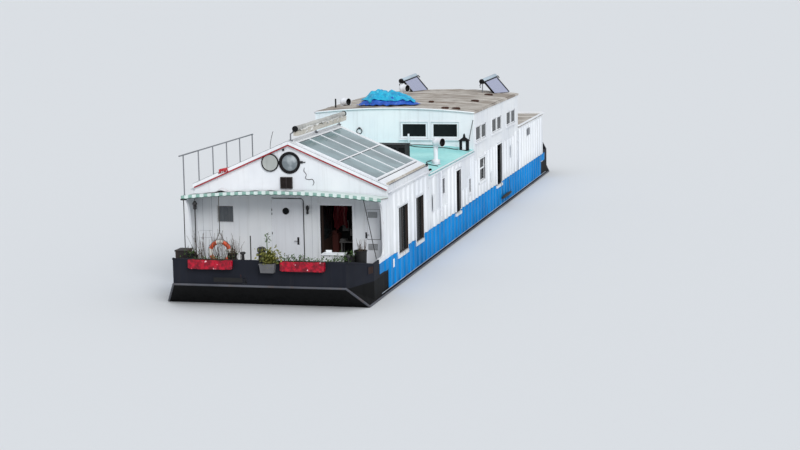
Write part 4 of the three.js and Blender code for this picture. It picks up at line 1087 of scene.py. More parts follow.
# %% [markdown]
# ## Doors
# The leaves are already in the model and turn on their hinges. What makes them doors is small:
# a raised rim, a handle on its plate, a round port, louvres, hinge pins. Each of these rides on
# the same body as its leaf, so it swings with it.

# %% Door furniture
LEAF_FACE = FORE - 0.008
# The entry leaf stands open inside, and starts here behind the wall
INNER_FACE = FORE + WALL + 0.008


def lever(x, z, y, reach):
    """A handle: a rounded plate, a neck and a lever that points along reach."""
    outline = [(0, y - 0.006), (0.022, y - 0.006), (0.026, y - 0.003), (0.026, y), (0, y)]
    plate = turned_form(outline, (x, 0, z), axis=1, sides=20)
    return joined([plate, tube([(x, y, z), (x, y - 0.045, z), (x + reach * 0.3, y - 0.055, z),
                                (x + reach, y - 0.055, z)], 0.009, 8)])


def leaf_rim(x0, x1, z0, z1, y, width):
    return blocks(frame_rows(x0, x1, z0, z1, width, y - 0.006, y - 0.0005))


def door_port(names, x, body, place):
    """A round port in a leaf: a black ring with eased corners and a dark pane in it."""
    rim = [(0.058, -0.009), (0.058, -0.028), (0.066, -0.038), (0.094, -0.038), (0.102, -0.028),
           (0.102, -0.009), (0.058, -0.009)]
    piece(names[0], place(turned_form(rim, (x, 0, 2.97), 1, 36)), "black_paint", body=body)
    piece(names[1], place(disc(0.062, -0.016, -0.009, (x, 0, 2.97), 1, 36)), "window_glass", body=body)


def on_leaf(proud, *rows):
    """Thin blocks on the faces of the fore wall's leaves, from rows of x0, x1, z0, z1."""
    return plates(LEAF_FACE - proud, LEAF_FACE - 0.0005, *rows)


piece("front_door_rim", leaf_rim(-0.5, 0.31, 1.45, 3.22, LEAF_FACE, 0.022), "door_paint", body="front_door",
      bevel=0.002)
door_port(("front_door_port", "front_door_port_pane"), -0.134, "front_door", on_fore)
piece("front_door_handle", [lever(0.232, 2.08, LEAF_FACE, -0.11), on_leaf(0.008, (0.2, 0.262, 1.965, 2.19))],
      "steel_dark", body="front_door", bevel=0.002)
pins = [(-0.583, -0.563, z - 0.035, z + 0.035) for z in (1.55, 2.3, 2.88, 3.0)]
piece("front_door_pins", on_leaf(0.012, *pins), "steel_dark", body="front_door", bevel=0.002)
piece("locker_door_rim", leaf_rim(2.305, 2.815, 1.36, 3.125, LEAF_FACE, 0.025), "door_paint",
      body="locker_door", bevel=0.002)
for i, (z0, z1) in enumerate([(2.82, 2.99), (1.86, 2.04)]):
    piece(f"locker_vent_{i + 1}", [
        blocks(frame_rows(2.39, 2.67, z0, z1, 0.016, LEAF_FACE - 0.018, LEAF_FACE - 0.0005)),
        louvres(2.404, 2.656, z0 + 0.012, z1 - 0.01, LEAF_FACE - 0.012, 0.026, 40, 0.018)],
        "vent_grey", body="locker_door")
piece("locker_handle", [lever(2.325, 2.31, LEAF_FACE, 0.1), on_leaf(0.008, (2.302, 2.348, 2.2, 2.38))],
      "steel_dark", body="locker_door", bevel=0.002)
# Dark joint round the locker's upper panel, wider on the right and at the foot as painted shadow
panel_rows = ((2.353, 2.358, 2.177, 3.062), (2.752, 2.764, 2.177, 3.062), (2.353, 2.764, 2.165, 2.177),
              (2.353, 2.764, 3.062, 3.07))
piece("locker_panel_joint_shadow", on_leaf(0.004, *panel_rows), "steel_dark", body="locker_door")
# Broad white frames round the openings of the fore wall
door_frames = jambs(0.92 - 0.075, 1.91 + 0.075, DECK_LEVEL, 3.16 + 0.075, 0.075, -0.022)
door_frames += jambs(2.29 - 0.04, 2.83 + 0.04, DECK_LEVEL, 3.14 + 0.04, 0.04, -0.012)
piece("fore_door_frames", on_fore(blocks(door_frames)), "frame_white", bevel=0.006)
# The shadow line round the front door, with a rounded corner
bend = np.linspace(0, math.pi / 2, 9)
gap_line = np.array([(0.412, 1.33), *zip(0.312 + 0.1 * np.cos(bend), 3.254 + 0.1 * np.sin(bend)),
                     (-0.575, 3.354)])
gap_path = np.insert(gap_line, 1, FORE - 0.003, axis=1)
piece("front_door_gap", tube(gap_path, 0.012, 8, (0, 1, 0)), "rubber")


def glazed_leaf(name, body, place, length, z0, z1, finish="frame_white"):
    """A door leaf's dressing on its broad face: rim, pane in the upper part, handle."""
    rim = frame_rows(0.02, length - 0.02, z0 + 0.02, z1 - 0.02, 0.07, -0.006, -0.0005, rails=[z0 + 0.7])
    piece(f"{name}_rim", place(blocks(rim)), finish, body=body, bevel=0.002)
    piece(f"{name}_pane", place(plates(-0.004, -0.0005, (0.1, length - 0.1, z0 + 0.75, z1 - 0.1))),
          "window_glass", body=body)
    piece(f"{name}_handle", place(lever(length - 0.07, (z0 + z1) / 2, 0.0, -0.1)), "steel_dark", body=body)


def on_entry(shape):
    """The entry leaf stands at a right angle inside, its broad face towards +X."""
    return moved(spun(shape, 2, 90), (0.926 + 0.045, INNER_FACE, 0))


# The entry leaf and its rim are dark brown: painted shade, as the leaf stands in the dim doorway
glazed_leaf("entry_leaf", "entry_door", on_entry, 0.978, 1.336, 3.154, "dark_wood")
for part, y0, z1 in (("fore", -4.494, 3.074), ("aft", 3.176, 3.184)):
    leaf_low, leaf_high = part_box(f"door_side_{part}")
    glazed_leaf(f"side_leaf_{part}", f"side_door_{part}", lambda shape: moved(shape, (leaf_low[0], y0, 0)),
                leaf_high[0] - leaf_low[0] - 0.02, 1.606, z1)
piece("aft_door_rim", on_aft(leaf_rim(-0.41, 0.41, 1.45, 3.22, -0.008, 0.025)), "door_paint", body="aft_door",
      bevel=0.002)
piece("aft_door_handle", on_aft(lever(-0.36, 2.25, -0.008, 0.11)), "steel_dark", body="aft_door")
window("aft_window", (-2.3, -1.2, 2.2, 2.9), on_aft, posts=[-1.75])

# %% [markdown]
# ## The lifebuoy
# An orange ring with four white bands hangs in front of the wall on a thin rope. The ring is a
# torus, a little flattened, and its colour depends on the angle about the ring's own centre. A
# grab line is tied to the bands and bows out between them.

# %% Ring, grab line and rope
BUOY = {"x": -1.9, "y": FORE - 0.94, "z": 1.85, "radius": 0.3, "tube": 0.062}


def buoy_paint():
    foam = Finish("buoy_foam", Roughness=0.5)
    x, _, z = foam.axes()
    angle = (z - BUOY["z"]).maths("ARCTAN2", z - BUOY["z"], x - BUOY["x"]) * (2 / math.pi) + 0.5
    band = angle.maths("PINGPONG", angle, 0.5).within(0.27, 0.29)
    tone = foam.mix(band, srgb(0.84, 0.33, 0.18), srgb(0.88, 0.87, 0.84))
    tone = foam.mix(foam.noise(9.0, 5.0).within(0.5, 0.75) * 0.5, tone, srgb(0.5, 0.36, 0.3))
    foam.colour(tone).bump(foam.noise(60.0), 0.002, 0.4)


def torus(centre, radius, small, rows=64, columns=18, squeeze=0.9):
    """Ring in a plane across Y: the small circle is squeezed a little along Y."""
    u = np.linspace(0, 2 * math.pi, rows, endpoint=False)[:, None]
    v = np.linspace(0, 2 * math.pi, columns, endpoint=False)[None, :]
    out = radius + small * np.cos(v)
    points = np.stack([out * np.cos(u), squeeze * small * np.sin(v) + 0 * u, out * np.sin(u)], -1)
    return (points.reshape(-1, 3) + np.asarray(centre, float),
            grid_faces(rows, columns, close_rows=True, close_columns=True)[:, ::-1])


buoy_paint()
buoy_x, buoy_y, buoy_z = BUOY["x"], BUOY["y"], BUOY["z"]
piece("buoy_ring", torus((buoy_x, buoy_y, buoy_z), BUOY["radius"], BUOY["tube"]), "buoy_foam", smooth=True,
      replaces=["lifebuoy"])
turn = np.linspace(0, 2 * math.pi, 129)[:-1]
bow = BUOY["radius"] + BUOY["tube"] + 0.004 + 0.02 * np.abs(np.sin(2 * turn - math.pi / 2))
grab = np.stack([buoy_x + bow * np.cos(turn), np.full_like(turn, buoy_y), buoy_z + bow * np.sin(turn)], -1)
knot = (buoy_x, buoy_y, buoy_z + BUOY["radius"] + 0.28)
hook = (buoy_x, buoy_y, float(canopy_point(buoy_x / CANOPY["half"], 0.94)[2]) - 0.03)
straps = [tube(grab, 0.006, 8), rod(knot, hook, 0.013, 8)]
straps += [rod(knot, (buoy_x + side * 0.17, buoy_y, buoy_z + 0.27), 0.009, 8) for side in (-1, 1)]
piece("buoy_rope", straps, "rope_grey", smooth=True)

# %% [markdown]
# ## Flower boxes and plants
# Two red boxes hang on the end bulwark, wrapped in crinkled foil with painted highlights for its
# small glints and painted shade in its creases, and a grey planter hangs between them. The foil is a
# soft block moved by creases. Leaves are many folded diamonds at seeded places; the fern is the same,
# with blades set in a cone.

# %% Foil, pots and leaves
# A leaf has five corners in a row; two faces fold along the line from its foot to its tip
FOLDED = ((0, 1, 2, 3), (0, 3, 2, 4))


def foil():
    wrap = Finish("red_foil", Roughness=0.32, Specular_IOR_Level=0.35)
    creases = wrap.noise(6.0, 5.0, 0.65)
    glint_highlights = wrap.noise(11.0, 3.0, 0.6)
    # Darker red over the creases is painted shade, and the pale glints are painted highlights
    tone = wrap.mix(creases.within(0.35, 0.62), srgb(0.74, 0.03, 0.17), srgb(0.42, 0.01, 0.1))
    tone = wrap.mix(glint_highlights.within(0.66, 0.7) * 0.85, tone, srgb(0.97, 0.82, 0.85))
    wrap.colour(tone).bump(creases + glint_highlights * 0.3, 0.04, 1.0)


def leaf_finish(name, light, dark):
    leaf = Finish(name, Roughness=0.55)
    leaf.colour(leaf.mix(leaf.noise(14.0, 3.0).within(0.3, 0.7), srgb(*light), srgb(*dark)))


def repeated(corners, faces):
    """A shape from count by corners by three points, each group of corners with the same faces."""
    base = corners.shape[1] * np.arange(len(corners))[:, None]
    return corners.reshape(-1, 3), np.concatenate([base + face for face in faces])


def leaf_cloud(centre, spread, count, size, seed, upright=0.4):
    """Folded diamonds: each leaf is two four-cornered faces on a seeded direction, most near the middle."""
    draw = np.random.default_rng(seed)
    middle = np.asarray(centre) + draw.normal(size=(count, 3)) * np.asarray(spread) * 0.5
    along = draw.normal(size=(count, 3)) + (0, 0, upright)
    along /= np.linalg.norm(along, axis=1)[:, None]
    across = np.cross(along, draw.normal(size=(count, 3)))
    across /= np.linalg.norm(across, axis=1)[:, None]
    up = np.cross(along, across)
    length = size * draw.uniform(0.6, 1.3, (count, 1))
    half = middle + along * length * 0.5
    corners = np.stack([middle, half + across * length * 0.24 + up * length * 0.06,
                        middle + along * length, half - up * length * 0.04,
                        half - across * length * 0.24 + up * length * 0.06], 1)
    return repeated(corners, FOLDED)


def fern(centre, height, width, count, seed):
    """Blades on a cone: the higher the blade, the shorter it is and the closer to the stem."""
    draw = np.random.default_rng(seed)
    share = draw.uniform(0, 1, (count, 1)) ** 1.3
    angle = draw.uniform(0, 2 * math.pi, (count, 1))
    out = np.concatenate([np.cos(angle), np.sin(angle), np.full_like(angle, 0.45)], 1)
    reach = width / 2 * (1 - share) + 0.015
    start = np.asarray(centre) + np.concatenate([0 * share, 0 * share, share * height], 1)
    side = np.concatenate([-np.sin(angle), np.cos(angle), 0 * angle], 1)
    tip = start + out * reach * draw.uniform(0.7, 1.15, (count, 1))
    mid = (start + tip) / 2
    wide = 0.1 * reach + 0.006
    corners = np.stack([start, mid + side * wide, tip, mid - (0, 0, 0.012), mid - side * wide], 1)
    return repeated(corners, FOLDED)


def square_pot(centre, half, outline):
    """A rectangular pot: each row of the outline is a share of the half width and a height."""
    rows = np.array([(0.0, outline[0][1]), *outline])
    corners = np.array([(-1, -1), (1, -1), (1, 1), (-1, 1)], float)
    flat = np.asarray(centre) + corners * rows[:, :1, None] * np.asarray(half)
    return woven(np.dstack([flat, np.repeat(rows[:, 1:], 4, 1)]), close_columns=True)


foil()
leaf_finish("green_leaf", (0.3, 0.42, 0.18), (0.16, 0.26, 0.11))
leaf_finish("fern_leaf", (0.58, 0.56, 0.25), (0.3, 0.34, 0.16))
for i, name in enumerate(("flower_box_left", "flower_box_right")):
    low, high = (np.array(corner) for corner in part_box(name))
    low += 0.006
    high -= 0.006
    points, faces = soft_block(low, high, 0.16, 60, 160)
    lean = (points - (low + high) / 2) / (high - low)
    points = points - lean * crumpled(points, 0.26, 0.048, 20 + i)[:, None] * (1, 0.9, 0.8)
    piece(f"flower_foil_{i + 1}", (points, faces), "red_foil", smooth=True, replaces=[name])
    earth = soft_block((low[0] + 0.05, low[1] + 0.03, high[2] - 0.05),
                       (high[0] - 0.05, high[1] - 0.03, high[2] - 0.005), 0.3)
    piece(f"flower_earth_{i + 1}", earth, "earth", smooth=True)
boxes_top = float(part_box("flower_box_right")[1][2])
piece("box_leaves", [leaf_cloud((1.05, -17.1, boxes_top + 0.05), (0.55, 0.1, 0.08), 130, 0.07, 4),
                     leaf_cloud((1.75, -17.1, boxes_top + 0.02), (0.35, 0.08, 0.05), 60, 0.06, 5),
                     leaf_cloud((-1.3, -17.1, boxes_top + 0.02), (0.6, 0.08, 0.05), 80, 0.055, 6)],
      "green_leaf")
pot_low, pot_high = (np.array(corner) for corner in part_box("planter"))
pot_x, pot_y = (pot_low[:2] + pot_high[:2]) / 2
pot_top = pot_high[2]
# The rim is a little wider than the pot's half width, and still lies inside the planter's box
RIM_SHARE = 1.07
pot_outline = [(0.86, pot_low[2]), (1.0, pot_top - 0.03), (1.06, pot_top - 0.03), (1.06, pot_top),
               (0.94, pot_top), (0.9, pot_top - 0.05), (0, pot_top - 0.05)]
piece("planter_pot", square_pot((pot_x, pot_y), (pot_high[:2] - pot_low[:2]) / (2 * RIM_SHARE), pot_outline),
      "stone", replaces=["planter"], bevel=0.006)
piece("planter_fern", [fern((pot_x + 0.05, pot_y, pot_top - 0.02), 0.4, 0.52, 420, 11),
                       leaf_cloud((pot_x + 0.05, pot_y, pot_top + 0.2), (0.3, 0.2, 0.24), 320, 0.09, 12,
                                  0.1)], "fern_leaf")
piece("planter_stem", [rod((pot_x, pot_y, pot_top - 0.04), (pot_x, pot_y, pot_top + 0.78), 0.012, 8),
                       leaf_cloud((pot_x, pot_y, pot_top + 0.72), (0.1, 0.08, 0.16), 26, 0.08, 13)],
      "green_leaf")

# %% [markdown]
# ## The handrail and the deck box
# The rail on the left eaves is plain galvanised tube: round bars replace the model's faceted ones,
# with a welded ring at each foot. The deck box is black, with a raised rim and two clasps.

# %% Rail and box
RAIL = {"x": -2.978, "z": 4.715, "pitch": 1.26, "count": 6, "from": FORE - 0.89, "radius": 0.021}
rail_x, rail_z = RAIL["x"], RAIL["z"]
rail_y = [RAIL["from"] + i * RAIL["pitch"] for i in range(RAIL["count"])]
roof_foot = RIDGE + SLOPE * rail_x + 0.0005
rail_parts = [tube([(rail_x, RAIL["from"] - 0.34, rail_z), (rail_x, rail_y[-1] + 0.06, rail_z)],
                   RAIL["radius"], 14)]
for i, y in enumerate(rail_y):
    foot = roof_foot if i else float(canopy_point(rail_x / CANOPY["half"], 0.89)[2])
    rail_parts += [rod((rail_x, y, foot), (rail_x, y, rail_z), RAIL["radius"] * 0.9, 14),
                   disc(0.042, 0, 0.012, (rail_x, y, foot), sides=16)]
piece("handrail", rail_parts, "galvanised", replaces=["handrail_left"])
box_low, box_high = (np.array(corner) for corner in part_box("deck_box"))
trim = frame_rows(box_low[0] - 0.012, box_high[0] + 0.012, box_high[2] - 0.06, box_high[2], 0.06,
                  box_low[1] - 0.012, box_low[1])[:1]
trim += [(x - 0.04, x + 0.04, box_low[1] - 0.025, box_low[1] - 0.001, box_high[2] - 0.14, box_high[2] - 0.02)
         for x in (box_low[0] + 0.25, box_high[0] - 0.25)]
piece("deck_box_trim", blocks(trim), "steel_dark", bevel=0.003)

# %% [markdown]
# ## Steel trim on the hull
# A grey rubbing bar follows the knuckle of the raked ends, drops down the corner plates and then
# runs along the waterline. The bulwark has a rounded cap and the plates show their welds. Bars on
# a path are tubes through the hull's own corner points.

# %% Rubbing bars, caps and welds
END, END_HALF, KNUCKLE, CORNER_RUN = 17.0, 2.55, 1.27, 1.35
CORNER = END - CORNER_RUN
RAKE = 0.72 / 0.84
BAR_Z = 0.635
CAP_LOW, CAP_HIGH = 1.732, 1.982


def mirrored_pair(shape, axis=0):
    return joined([shape, mirrored(shape, axis)])


def dense(path, step=0.25):
    """Points added along a path's straight stretches, so that a tube keeps its corners close."""
    path = np.asarray(path, float)
    stretches = [np.linspace(a, b, max(2, int(np.linalg.norm(b - a) / step)), endpoint=False)
                 for a, b in zip(path[:-1], path[1:])]
    return np.concatenate([*stretches, path[-1:]])


side_low = END - (KNUCKLE - 0.62) / RAKE
half_bar = [(0.0, -END - 0.01, KNUCKLE), (END_HALF, -END - 0.01, KNUCKLE), (HALF + 0.012, -side_low, BAR_Z),
            (HALF + 0.012, 0.0, BAR_Z)]
piece("rubbing_bar", mirrored_pair(mirrored_pair(tube(dense(half_bar), 0.032, 10)), 1), "bar_grey",
      smooth=True)
cap_path = [(0.0, -END + 0.03, CAP_HIGH), (END_HALF, -END + 0.03, CAP_HIGH),
            (END_HALF + 0.02, -END + 0.11, CAP_HIGH), (HALF - 0.03, -CORNER, CAP_LOW)]
fore_path = [*cap_path, (HALF - 0.03, FORE - 0.01, CAP_LOW)]
aft_path = [*((x, -y, z) for x, y, z in cap_path), (HALF - 0.03, AFT + 0.01, CAP_LOW)]
piece("bulwark_caps", [mirrored_pair(tube(dense(path), 0.034, 10)) for path in (fore_path, aft_path)],
      "hull_paint", smooth=True)
seams = [(x - 0.006, x + 0.006, -END - 0.005, -END + 0.001, 1.31, 1.95)
         for x in (-2.1, -1.05, 0.0, 1.05, 2.1)]
seams += [(-END_HALF, END_HALF, -END - 0.008, -END + 0.001, 1.296, 1.318)]
piece("bulwark_welds", mirrored_pair(blocks(seams), 1), "hull_paint", bevel=0.003)

# %% [markdown]
# ## Gable edges and gutters
# A thin dark-red batten runs under each white verge of the gable, with a red tie on the left one.
# Along the eaves hangs a half-round gutter with a black end cap. The verge boards are blocks set
# onto the roof slope with the same function as the skylight.

# %% Battens, verges, gutters
ROOM_END = -8.56
GUTTER_Z = 3.6
TIE_X = -2.03
batten = on_slope(blocks([(0.0, HALF - 0.02, FORE - 0.086, FORE - 0.052, -0.142, -0.1005)]))
piece("gable_battens", mirrored_pair(batten), "deep_red")
verge = on_slope(blocks([(0.002, HALF + 0.02, FORE - 0.092, FORE - 0.0805, -0.098, 0.014),
                         (0.002, HALF + 0.02, FORE - 0.092, FORE + 0.03, 0.0008, 0.014)]))
piece("gable_verges", mirrored_pair(verge), "frame_white", bevel=0.002)
tie_z = RIDGE + SLOPE * TIE_X
tie = [tube([(TIE_X + dx, FORE - 0.098, tie_z - 0.07 + 0.22 * dx),
             (TIE_X + dx * 0.8, FORE - 0.105, tie_z + 0.22 * dx),
             (TIE_X + dx, FORE - 0.04, tie_z + 0.03 + 0.22 * dx),
             (TIE_X + dx * 1.1, FORE + 0.1, tie_z + 0.03 + 0.24 * dx)], 0.024, 8)
       for dx in (-0.14, -0.09, -0.03, 0.03, 0.08, 0.14)]
piece("gable_tie", tie, "tie_red", smooth=True)


def gutter(y0, y1, z, reach=0.05, wall=0.004):
    """Half a tube along Y: the profile is an arc out and back, so the trough is open at the top."""
    angle = np.linspace(math.pi, 2 * math.pi, 12)
    profile = np.concatenate([np.stack([size * np.cos(turn), size * np.sin(turn)], -1)
                              for size, turn in ((reach, angle), (reach - wall, angle[::-1]))])
    x = HALF + 0.002 + reach + profile[:, 0]
    return woven(np.stack([np.column_stack([x, np.full_like(x, y), z + profile[:, 1]]) for y in (y0, y1)]),
                 close_columns=True)


piece("room_gutters", mirrored_pair(gutter(FORE - 0.02, ROOM_END + 0.02, GUTTER_Z)), "frame_white")
piece("gutter_caps", mirrored_pair(disc(0.052, 0, 0.02, (HALF + 0.053, ROOM_END + 0.02, GUTTER_Z), 1, 20)),
      "black_paint")

# %% [markdown]
# ## Along the side
# The long side has small things that break its rhythm: a narrow recess, a shuttered window, the
# hopper window with its tilted sash, frames round the side doors, a blank white plate on the blue,
# and a fender. They are dressed on the wall's own openings or on its flat sheets.

# %% Side dressing
window("slim_window", (-2.32, -2.03, 2.05, 2.54), on_right, casing=0.04, proud=0.055, sash=0.03)
window("hopper_fixed", (-0.3, 0.76, 2.19, 3.02), on_right, casing=0.04, proud=0.05, sash=0.035, rails=[2.62])
sash = blocks(frame_rows(-0.26, 0.72, 2.64, 2.98, 0.035, -0.02, 0.012))
piece("hopper_sash", on_right(spun(sash, 0, -9, (0, 0, 2.64))), "frame_white", bevel=0.003)
side_frames = [row for y0, y1, z1 in ((-4.5, -3.7, 3.08), (3.17, 4.23, 3.19))
               for row in jambs(y0 - 0.05, y1 + 0.05, 1.6, z1 + 0.05, 0.05, -0.056)]
piece("side_door_frames", on_right(blocks(side_frames)), "frame_white", bevel=0.004)
shutter_frame = frame_rows(-6.78, -6.32, 2.55, 3.12, 0.035, -0.055, -0.001)
piece("shutter_frame", on_right(blocks(shutter_frame)), "frame_white", bevel=0.003)
piece("shutter_slats", on_right(louvres(-6.745, -6.355, 2.59, 3.08, -0.03, 0.045, 30, 0.04)), "galvanised")
recess = [*frame_rows(-9.03, -8.78, 2.58, 3.12, 0.03, -0.055, -0.001),
          (-9.01, -8.8, -0.012, -0.001, 2.6, 3.1)]
piece("narrow_recess", on_right(blocks(recess)), "frame_white", bevel=0.002)
piece("recess_shade", on_right(plates(-0.016, -0.0125, (-8.985, -8.825, 2.63, 3.08))), "seam_grey")
piece("blank_plate", on_right(plates(-0.068, -0.0605, (-13.66, -13.48, 1.3, 1.55))), "frame_white",
      bevel=0.004)
piece("small_flap", on_right(plates(-0.07, -0.052, (10.1, 10.7, 2.9, 3.2))), "galvanised",
      bevel=0.004)
fender_y = np.linspace(3.7, 5.7, 40)
fender_r = 0.065 * np.clip(np.sin((fender_y - 3.7) / 2.0 * math.pi), 0.02, None) ** 0.25
fender = tube(np.stack([np.full(40, HALF + 0.13), fender_y, np.full(40, 1.05)], -1), fender_r, 18)
piece("side_fender", fender, "rubber", smooth=True)
piece("fender_lines", [rod((HALF + 0.075, y, 1.62), (HALF + 0.13, y, 1.1), 0.008, 8) for y in (3.85, 5.55)],
      "rope_grey", smooth=True)
deck_edge = blocks([(HALF - 0.001, HALF + 0.066, ROOM_END, CABIN_FORE, 3.462, 3.475)])
piece("deck_edge_strips", mirrored_pair(deck_edge), "frame_white", bevel=0.003)

# %% [markdown]
# ## On the roof deck
# The deck carries a black twin flue, hoses and a short pipe post. Hoses lie on the
# deck, so their points take the deck's own height.

# %% Flue, post and hoses
HOSE_RADIUS = 0.014


def flue(x, y):
    """Two plates with a white plate between, under a pointed cap."""
    z = float(deck_height(x)) + 0.002
    sides = blocks([(x - 0.17, x - 0.07, y - 0.06, y + 0.06, z, z + 0.34),
                    (x + 0.07, x + 0.17, y - 0.06, y + 0.06, z, z + 0.34),
                    (x - 0.19, x + 0.19, y - 0.08, y + 0.08, z, z + 0.02)])
    tip = square_pot((x, y), (0.2, 0.1), [(1.0, z + 0.34), (0.9, z + 0.37), (0.25, z + 0.47), (0.12, z + 0.6),
                                            (0.0, z + 0.605)])
    piece("deck_flue", [sides, tip], "black_paint", bevel=0.003)
    piece("deck_flue_core", blocks([(x - 0.069, x + 0.069, y - 0.04, y + 0.04, z, z + 0.34)]), "frame_white",
          bevel=0.003)


flue(2.76, -1.72)
post_x, post_y = 0.62, -1.42
post_z = float(deck_height(post_x))
pipe = tube([(post_x, post_y, post_z), (post_x, post_y, post_z + 0.4), (post_x, post_y, post_z + 0.43)],
            [0.036, 0.036, 0.028], 14, (0, 1, 0))
piece("pipe_post", [pipe, disc(0.07, 0, 0.015, (post_x, post_y, post_z))], "door_paint",
      smooth=True)


def smooth_route(points, count):
    """A round curve through the points: between two of them runs a cubic that the four nearest
    points shape."""
    points = np.asarray(points, float)
    padded = np.concatenate([2 * points[:1] - points[1:2], points, 2 * points[-1:] - points[-2:-1]])
    t = np.linspace(0, len(points) - 1 - 1e-9, count)
    i, f = t.astype(int), (t % 1)[:, None]
    a, b, c, d = (padded[i + k] for k in range(4))
    bend, twist = 2 * a - 5 * b + 4 * c - d, 3 * b - a - 3 * c + d
    return 0.5 * (2 * b + (c - a) * f + bend * f ** 2 + twist * f ** 3)


HOSES = {"deck_hose_1": [(0.62, -1.3), (0.95, -1.24), (1.25, -1.3), (1.6, -1.26)],
         "deck_hose_2": [(0.7, -1.55), (1.05, -1.95), (1.6, -2.05), (2.1, -1.85), (2.45, -1.95),
                         (2.55, -1.8)],
         "deck_hose_3": [(2.58, -5.25), (2.4, -5.8), (2.42, -6.35), (2.62, -6.62), (2.88, -6.6)]}
for name, route in HOSES.items():
    flat_route = smooth_route(route, 40)
    path = np.column_stack([flat_route, deck_height(flat_route[:, 0]) + HOSE_RADIUS + 0.001])
    hose = piece(name, tube(path, HOSE_RADIUS, 10), "hose_black", smooth=True)

# %% [markdown]
# ## The cabin roof's sheets
# Wavy mineral sheets lie on the roof, worn and lifted, with brown lumps of old mats. The sheets
# are one grid on the roof's camber: waves across the boat, broken by slow changes of their height,
# that fade in and out.

# %% Wavy sheets and lumps
def roof_sheets():
    """z = camber + 6 mm + waves of up to 24 mm, one in each 0.42 m, faded in and out along both axes."""
    x = np.linspace(-HALF + 0.02, HALF - 0.02, 90)[None, :]
    y = np.linspace(CABIN_FORE + 0.03, CABIN_AFT - 0.03, 300)[:, None]
    drift = 0.35 * np.sin(x * 0.9 + y * 0.4) + 0.2 * np.sin(x * 2.3 - y * 0.7)
    fade = 0.5 + 0.5 * np.sin(x * 1.3 + 1.1 * np.sin(y * 0.8)) * np.sin(y * 0.9 + x * 0.5)
    wave = 0.012 * (1 + np.sin((y + drift) * 2 * math.pi / 0.42)) * fade
    lift = 0.03 * np.clip(np.sin(x * 1.7 + 2 * np.sin(y * 0.6)) * np.sin(y * 1.1 + 0.5) - 0.55, 0, None)
    z = cabin_roof_height(x) + 0.006 + wave + lift
    return woven(np.stack([x + 0 * y, y + 0 * x, z], -1))


def lump(x, y, size, seed):
    z = float(cabin_roof_height(x))
    points, faces = soft_block((x - size, y - 0.09, z + 0.005), (x + size, y + 0.09, z + 0.1), 0.6, 18, 36)
    return points - (0, 0, 1) * crumpled(points, 0.1, 0.02, seed)[:, None], faces


thicken(piece("roof_sheets", roof_sheets(), "roofing", smooth=True), 0.004)
LUMPS = [(2.22, 5.8, 0.17), (2.28, 2.7, 0.16), (2.28, -0.82, 0.16), (1.9, -0.95, 0.14), (0.9, 1.2, 0.1)]
piece("roof_lumps", [lump(*row, 40 + i) for i, row in enumerate(LUMPS)], "mat_brown", smooth=True)
mast_x, mast_y = -2.56, 0.1
mast_z = float(cabin_roof_height(mast_x))
piece("roof_post", rod((mast_x, mast_y, mast_z), (mast_x, mast_y, mast_z + 0.34), 0.03, 12), "black_paint")
corner_trim = blocks([(HALF - 0.05, HALF + 0.012, CABIN_FORE - 0.012, CABIN_FORE + 0.05, 3.47, 4.78)])
piece("cabin_corner_trims", mirrored_pair(corner_trim), "frame_white", bevel=0.004)
piece("corner_stay", rod((2.968, CABIN_FORE - 0.02, 4.556), (2.782, CABIN_FORE - 0.02, 3.66), 0.011, 10),
      "steel_dark", smooth=True)
fascia_x = np.linspace(-HALF - 0.03, HALF + 0.03, 60)
fascia_z = cabin_roof_height(np.clip(fascia_x, -HALF, HALF)) - 0.03
fascia = np.stack([fascia_x, np.full(60, CABIN_FORE - 0.048), fascia_z], -1)
piece("cabin_fascia", tube(fascia, 0.028, 8), "frame_white", smooth=True)
piece("ring_fitting", [torus((-1.32, CABIN_FORE - 0.03, 4.13), 0.1, 0.016, 40, 10, 1.0),
                       on_cabin(plates(-0.02, -0.001, (-1.36, -1.28, 4.2, 4.27)))], "steel_dark")

# %% [markdown]
# ## On the fore deck
# The open deck in front of the house is full of small things that break the bulwark's straight
# line: a mushroom-headed mooring post, black buckets, a white bench, bare twigs in pots and a
# crate. They all stand on the deck, and only their upper parts show over the bulwark.

# %% Posts, buckets, bench and twigs
# Each pail: its place, its radius and the height of its rim
PAILS = ((2.38, -15.95, 0.15, 2.02), (2.66, -15.8, 0.18, 2.16), (-0.95, -16.45, 0.13, 2.1),
         (-2.3, -16.2, 0.14, 2.05))


def twigs(centre, spread, count, height, seed):
    """Thin upright blades: each is a four-cornered strip from a seeded foot to a leaning tip."""
    draw = np.random.default_rng(seed)
    foot = np.asarray(centre) + draw.uniform(-0.5, 0.5, (count, 3)) * (*spread, 0.0)
    tall = height * draw.uniform(0.35, 1.0, (count, 1))
    tip = foot + np.concatenate([draw.normal(size=(count, 2)) * 0.16 * tall, tall], 1)
    wide = np.array([0.006, 0.0, 0.0])
    corners = np.stack([foot - wide, foot + wide, tip + wide * 0.4, tip - wide * 0.4], 1)
    box_faces = ((0, 1, 2, 3), (5, 4, 7, 6), (1, 5, 6, 2), (4, 0, 3, 7), (3, 2, 6, 7), (4, 5, 1, 0))
    return repeated(np.concatenate([corners, corners + (0, 0.006, 0)], 1), box_faces)


def bucket(x, y, radius, top, foot=DECK_LEVEL):
    """A tapered pail with a rolled rim, open at the top."""
    return turned_form([(0, foot), (radius * 0.82, foot), (radius, top - 0.03), (radius + 0.012, top - 0.03),
                        (radius + 0.012, top), (radius - 0.01, top), (radius * 0.8, foot + 0.03),
                        (0, foot + 0.03)], (x, y, 0), sides=24)


